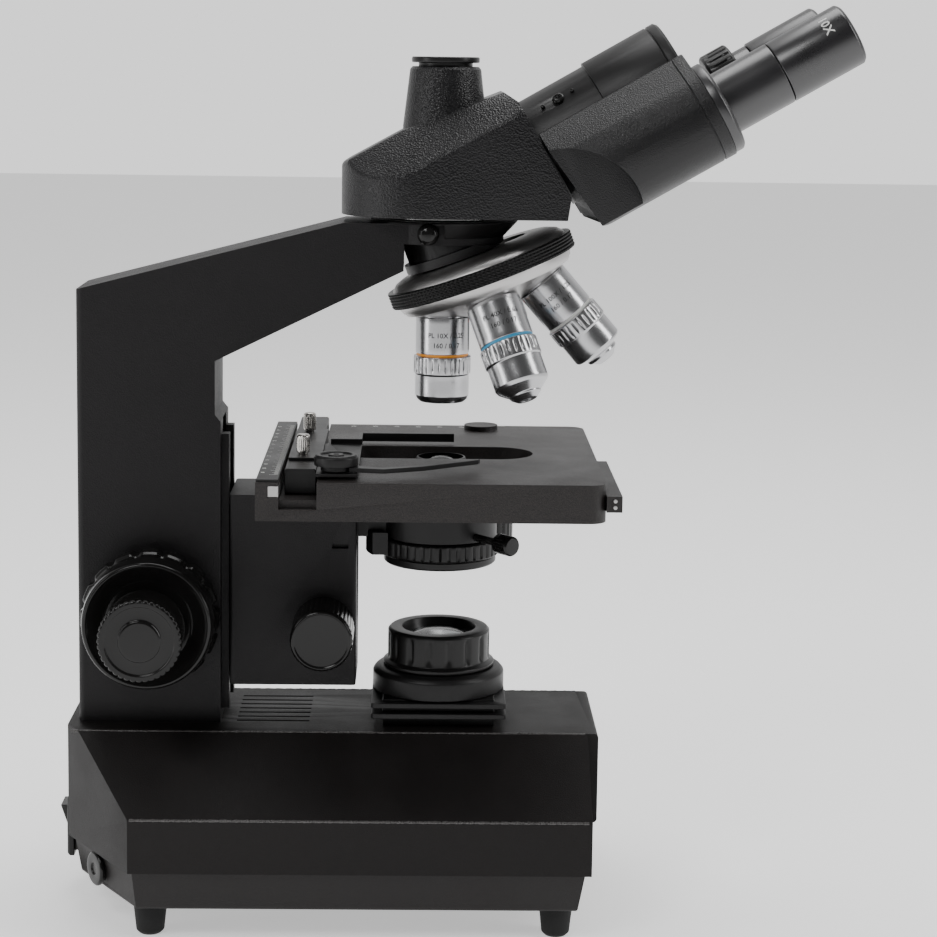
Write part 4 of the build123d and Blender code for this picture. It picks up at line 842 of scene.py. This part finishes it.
def lay_floor(settings):
    bm = bmesh.new()
    bmesh.ops.create_grid(bm, x_segments=2, y_segments=2, size=FLOOR_HALF)
    mesh = bpy.data.meshes.new("floor")
    bm.to_mesh(mesh)
    bm.free()
    floor = bpy.data.objects.new("floor", mesh)
    bpy.context.scene.collection.objects.link(floor)
    paper = finish("floor paper", settings.floor_colour, 0.85, mottle=0.01, grain=60, depth=0.001, shine=0.1)
    glow = paper.node_tree.nodes["Principled BSDF"].inputs
    glow["Emission Color"].default_value = (1, 1, 1, 1)
    glow["Emission Strength"].default_value = settings.floor_glow
    mesh.materials.append(paper)


def light_room(settings):
    """Room light that is brightest from the wall behind, and a backdrop of its own brightness."""
    world = bpy.data.worlds.new("studio")
    bpy.context.scene.world = world
    world.use_nodes = True
    tree = world.node_tree
    sky = tree.nodes["Background"].inputs
    sky["Color"].default_value = (1, 1, 1, 1)
    direct, level = tree.nodes.new("ShaderNodeLightPath"), tree.nodes.new("ShaderNodeMapRange")
    around, split = tree.nodes.new("ShaderNodeTexCoord"), tree.nodes.new("ShaderNodeSeparateXYZ")
    room = tree.nodes.new("ShaderNodeMapRange")
    tree.links.new(around.outputs["Generated"], split.inputs[0])
    tree.links.new(split.outputs["Y"], room.inputs["Value"])
    room.inputs["From Min"].default_value, room.inputs["From Max"].default_value = -0.1, 0.7
    room.inputs["To Min"].default_value, room.inputs["To Max"].default_value = settings.fill, settings.room
    level.inputs["To Max"].default_value = settings.backdrop
    tree.links.new(room.outputs["Result"], level.inputs["To Min"])
    tree.links.new(direct.outputs["Is Camera Ray"], level.inputs["Value"])
    tree.links.new(level.outputs["Result"], sky["Strength"])


def build_studio(settings):
    lay_floor(settings)
    light_room(settings)
    area_light("left", (-0.75, -1.15, 1.45), (0, 0, 0.3), (0.7, 0.5), settings.key * 0.5)
    area_light("side", (-1.4, -0.5, 0.5), (0, 0, 0.22), (0.3, 1.2), settings.key * 0.3)
    area_light("right", (1.4, -0.4, 0.9), (0, 0, 0.22), (0.4, 1.4), settings.key * 0.6)
    area_light("top", (0.1, 0.3, 1.7), (0, 0, 0.15), (1.2, 0.9), settings.key * 1.0)
    camera_rig(settings)


# ---------------------------------------------------------------- settings, operators, panel
class StudioSettings(bpy.types.PropertyGroup):
    """Camera and light of the studio."""
    place: bpy.props.FloatVectorProperty(
        name="Camera place", description="About the optical axis, in millimetres",
        default=(-10.51, -1022.0, 369.1), subtype="XYZ")
    heading: bpy.props.FloatProperty(
        name="Heading", description="Turn about the vertical", default=-0.02157, subtype="ANGLE")
    pitch: bpy.props.FloatProperty(
        name="Pitch", description="How far the camera looks down", default=0.1356, subtype="ANGLE")
    roll: bpy.props.FloatProperty(
        name="Roll", description="Tilt of the picture", default=0.01392, subtype="ANGLE")
    lens: bpy.props.FloatProperty(
        name="Lens", description="Focal length on a 36 mm sensor", default=91.25)
    shift: bpy.props.FloatProperty(
        name="Shift", description="Upward shift of the picture", default=-0.0978)
    key: bpy.props.FloatProperty(
        name="Key light", description="Power of the main light", default=18.0, unit="POWER")
    fill: bpy.props.FloatProperty(
        name="Fill light", description="Room light from the front", default=0.1)
    room: bpy.props.FloatProperty(
        name="Back wall", description="Room light from the white wall behind", default=0.9)
    backdrop: bpy.props.FloatProperty(
        name="Backdrop", description="Brightness behind the object", default=1.3)
    floor_glow: bpy.props.FloatProperty(
        name="Floor glow", description="Light table under the paper", default=0.6)
    floor_colour: bpy.props.FloatVectorProperty(
        name="Floor", description="Colour of the paper", default=(0.86, 0.86, 0.86), subtype="COLOR")


def piece_operator(key, label, note, job):
    """An operator class that builds one group of pieces."""
    def execute(self, context):
        if not M:
            M.update(make_finishes())
        job()
        return {"FINISHED"}
    return type("MICROSCOPE_OT_" + key, (bpy.types.Operator,), {
        "__doc__": note, "bl_idname": "microscope." + key, "bl_label": label, "bl_options": {"REGISTER"},
        "execute": execute})


PIECES = (
    piece_operator("base", "Base", "Cover, pan, feet, switch, inlet, fuse and dial", build_base),
    piece_operator("illuminator", "Illuminator", "Plates, collar, ring and field lens", build_illuminator),
    piece_operator("arm", "Arm", "Arm, head socket and its lock screw", build_arm),
    piece_operator("focus", "Focus knobs", "Coarse and fine focus knobs", build_focus),
    piece_operator("bracket", "Stage bracket", "Bracket and condenser knobs", build_bracket),
    piece_operator("stage", "Stage", "Stage plates, slide holder, scales and knobs", build_stage),
    piece_operator("condenser", "Condenser", "Carrier, mount, iris ring, filter and clamp", build_condenser),
    piece_operator("nosepiece", "Nosepiece", "Fixed disc, turret and its grip ring", build_nosepiece),
    piece_operator("objectives", "Objectives", "The four objectives", build_objectives),
    piece_operator("head", "Head", "Head, camera tube cap, wings, eyetubes and eyepieces", build_head),
    piece_operator("inside", "Inside parts", "Finishes of the parts kept from the frame", dress_carried),
)


class MICROSCOPE_OT_studio(bpy.types.Operator):
    """Floor, lights and camera"""
    bl_idname, bl_label, bl_options = "microscope.studio", "Studio", {"REGISTER"}

    def execute(self, context):
        build_studio(context.scene.microscope_studio)
        return {"FINISHED"}


class MICROSCOPE_PT_panel(bpy.types.Panel):
    """Lists the microscope's operators"""
    bl_idname, bl_label = "MICROSCOPE_PT_panel", "Microscope"
    bl_space_type, bl_region_type, bl_category = "VIEW_3D", "UI", "Microscope"

    def draw(self, context):
        for operator in (*PIECES, MICROSCOPE_OT_studio):
            self.layout.operator(operator.bl_idname)
        for key in StudioSettings.__annotations__:
            self.layout.prop(context.scene.microscope_studio, key)


CLASSES = (StudioSettings, *PIECES, MICROSCOPE_OT_studio, MICROSCOPE_PT_panel)


def register():
    for cls in CLASSES:
        bpy.utils.register_class(cls)
    bpy.types.Scene.microscope_studio = bpy.props.PointerProperty(type=StudioSettings)


def unregister():
    del bpy.types.Scene.microscope_studio
    for cls in reversed(CLASSES):
        bpy.utils.unregister_class(cls)


def main():
    register()
    for operator in (*PIECES, MICROSCOPE_OT_studio):
        group, action = operator.bl_idname.split(".")
        getattr(getattr(bpy.ops, group), action)()
    bpy.context.view_layer.update()


if __name__ == "__main__":
    main()
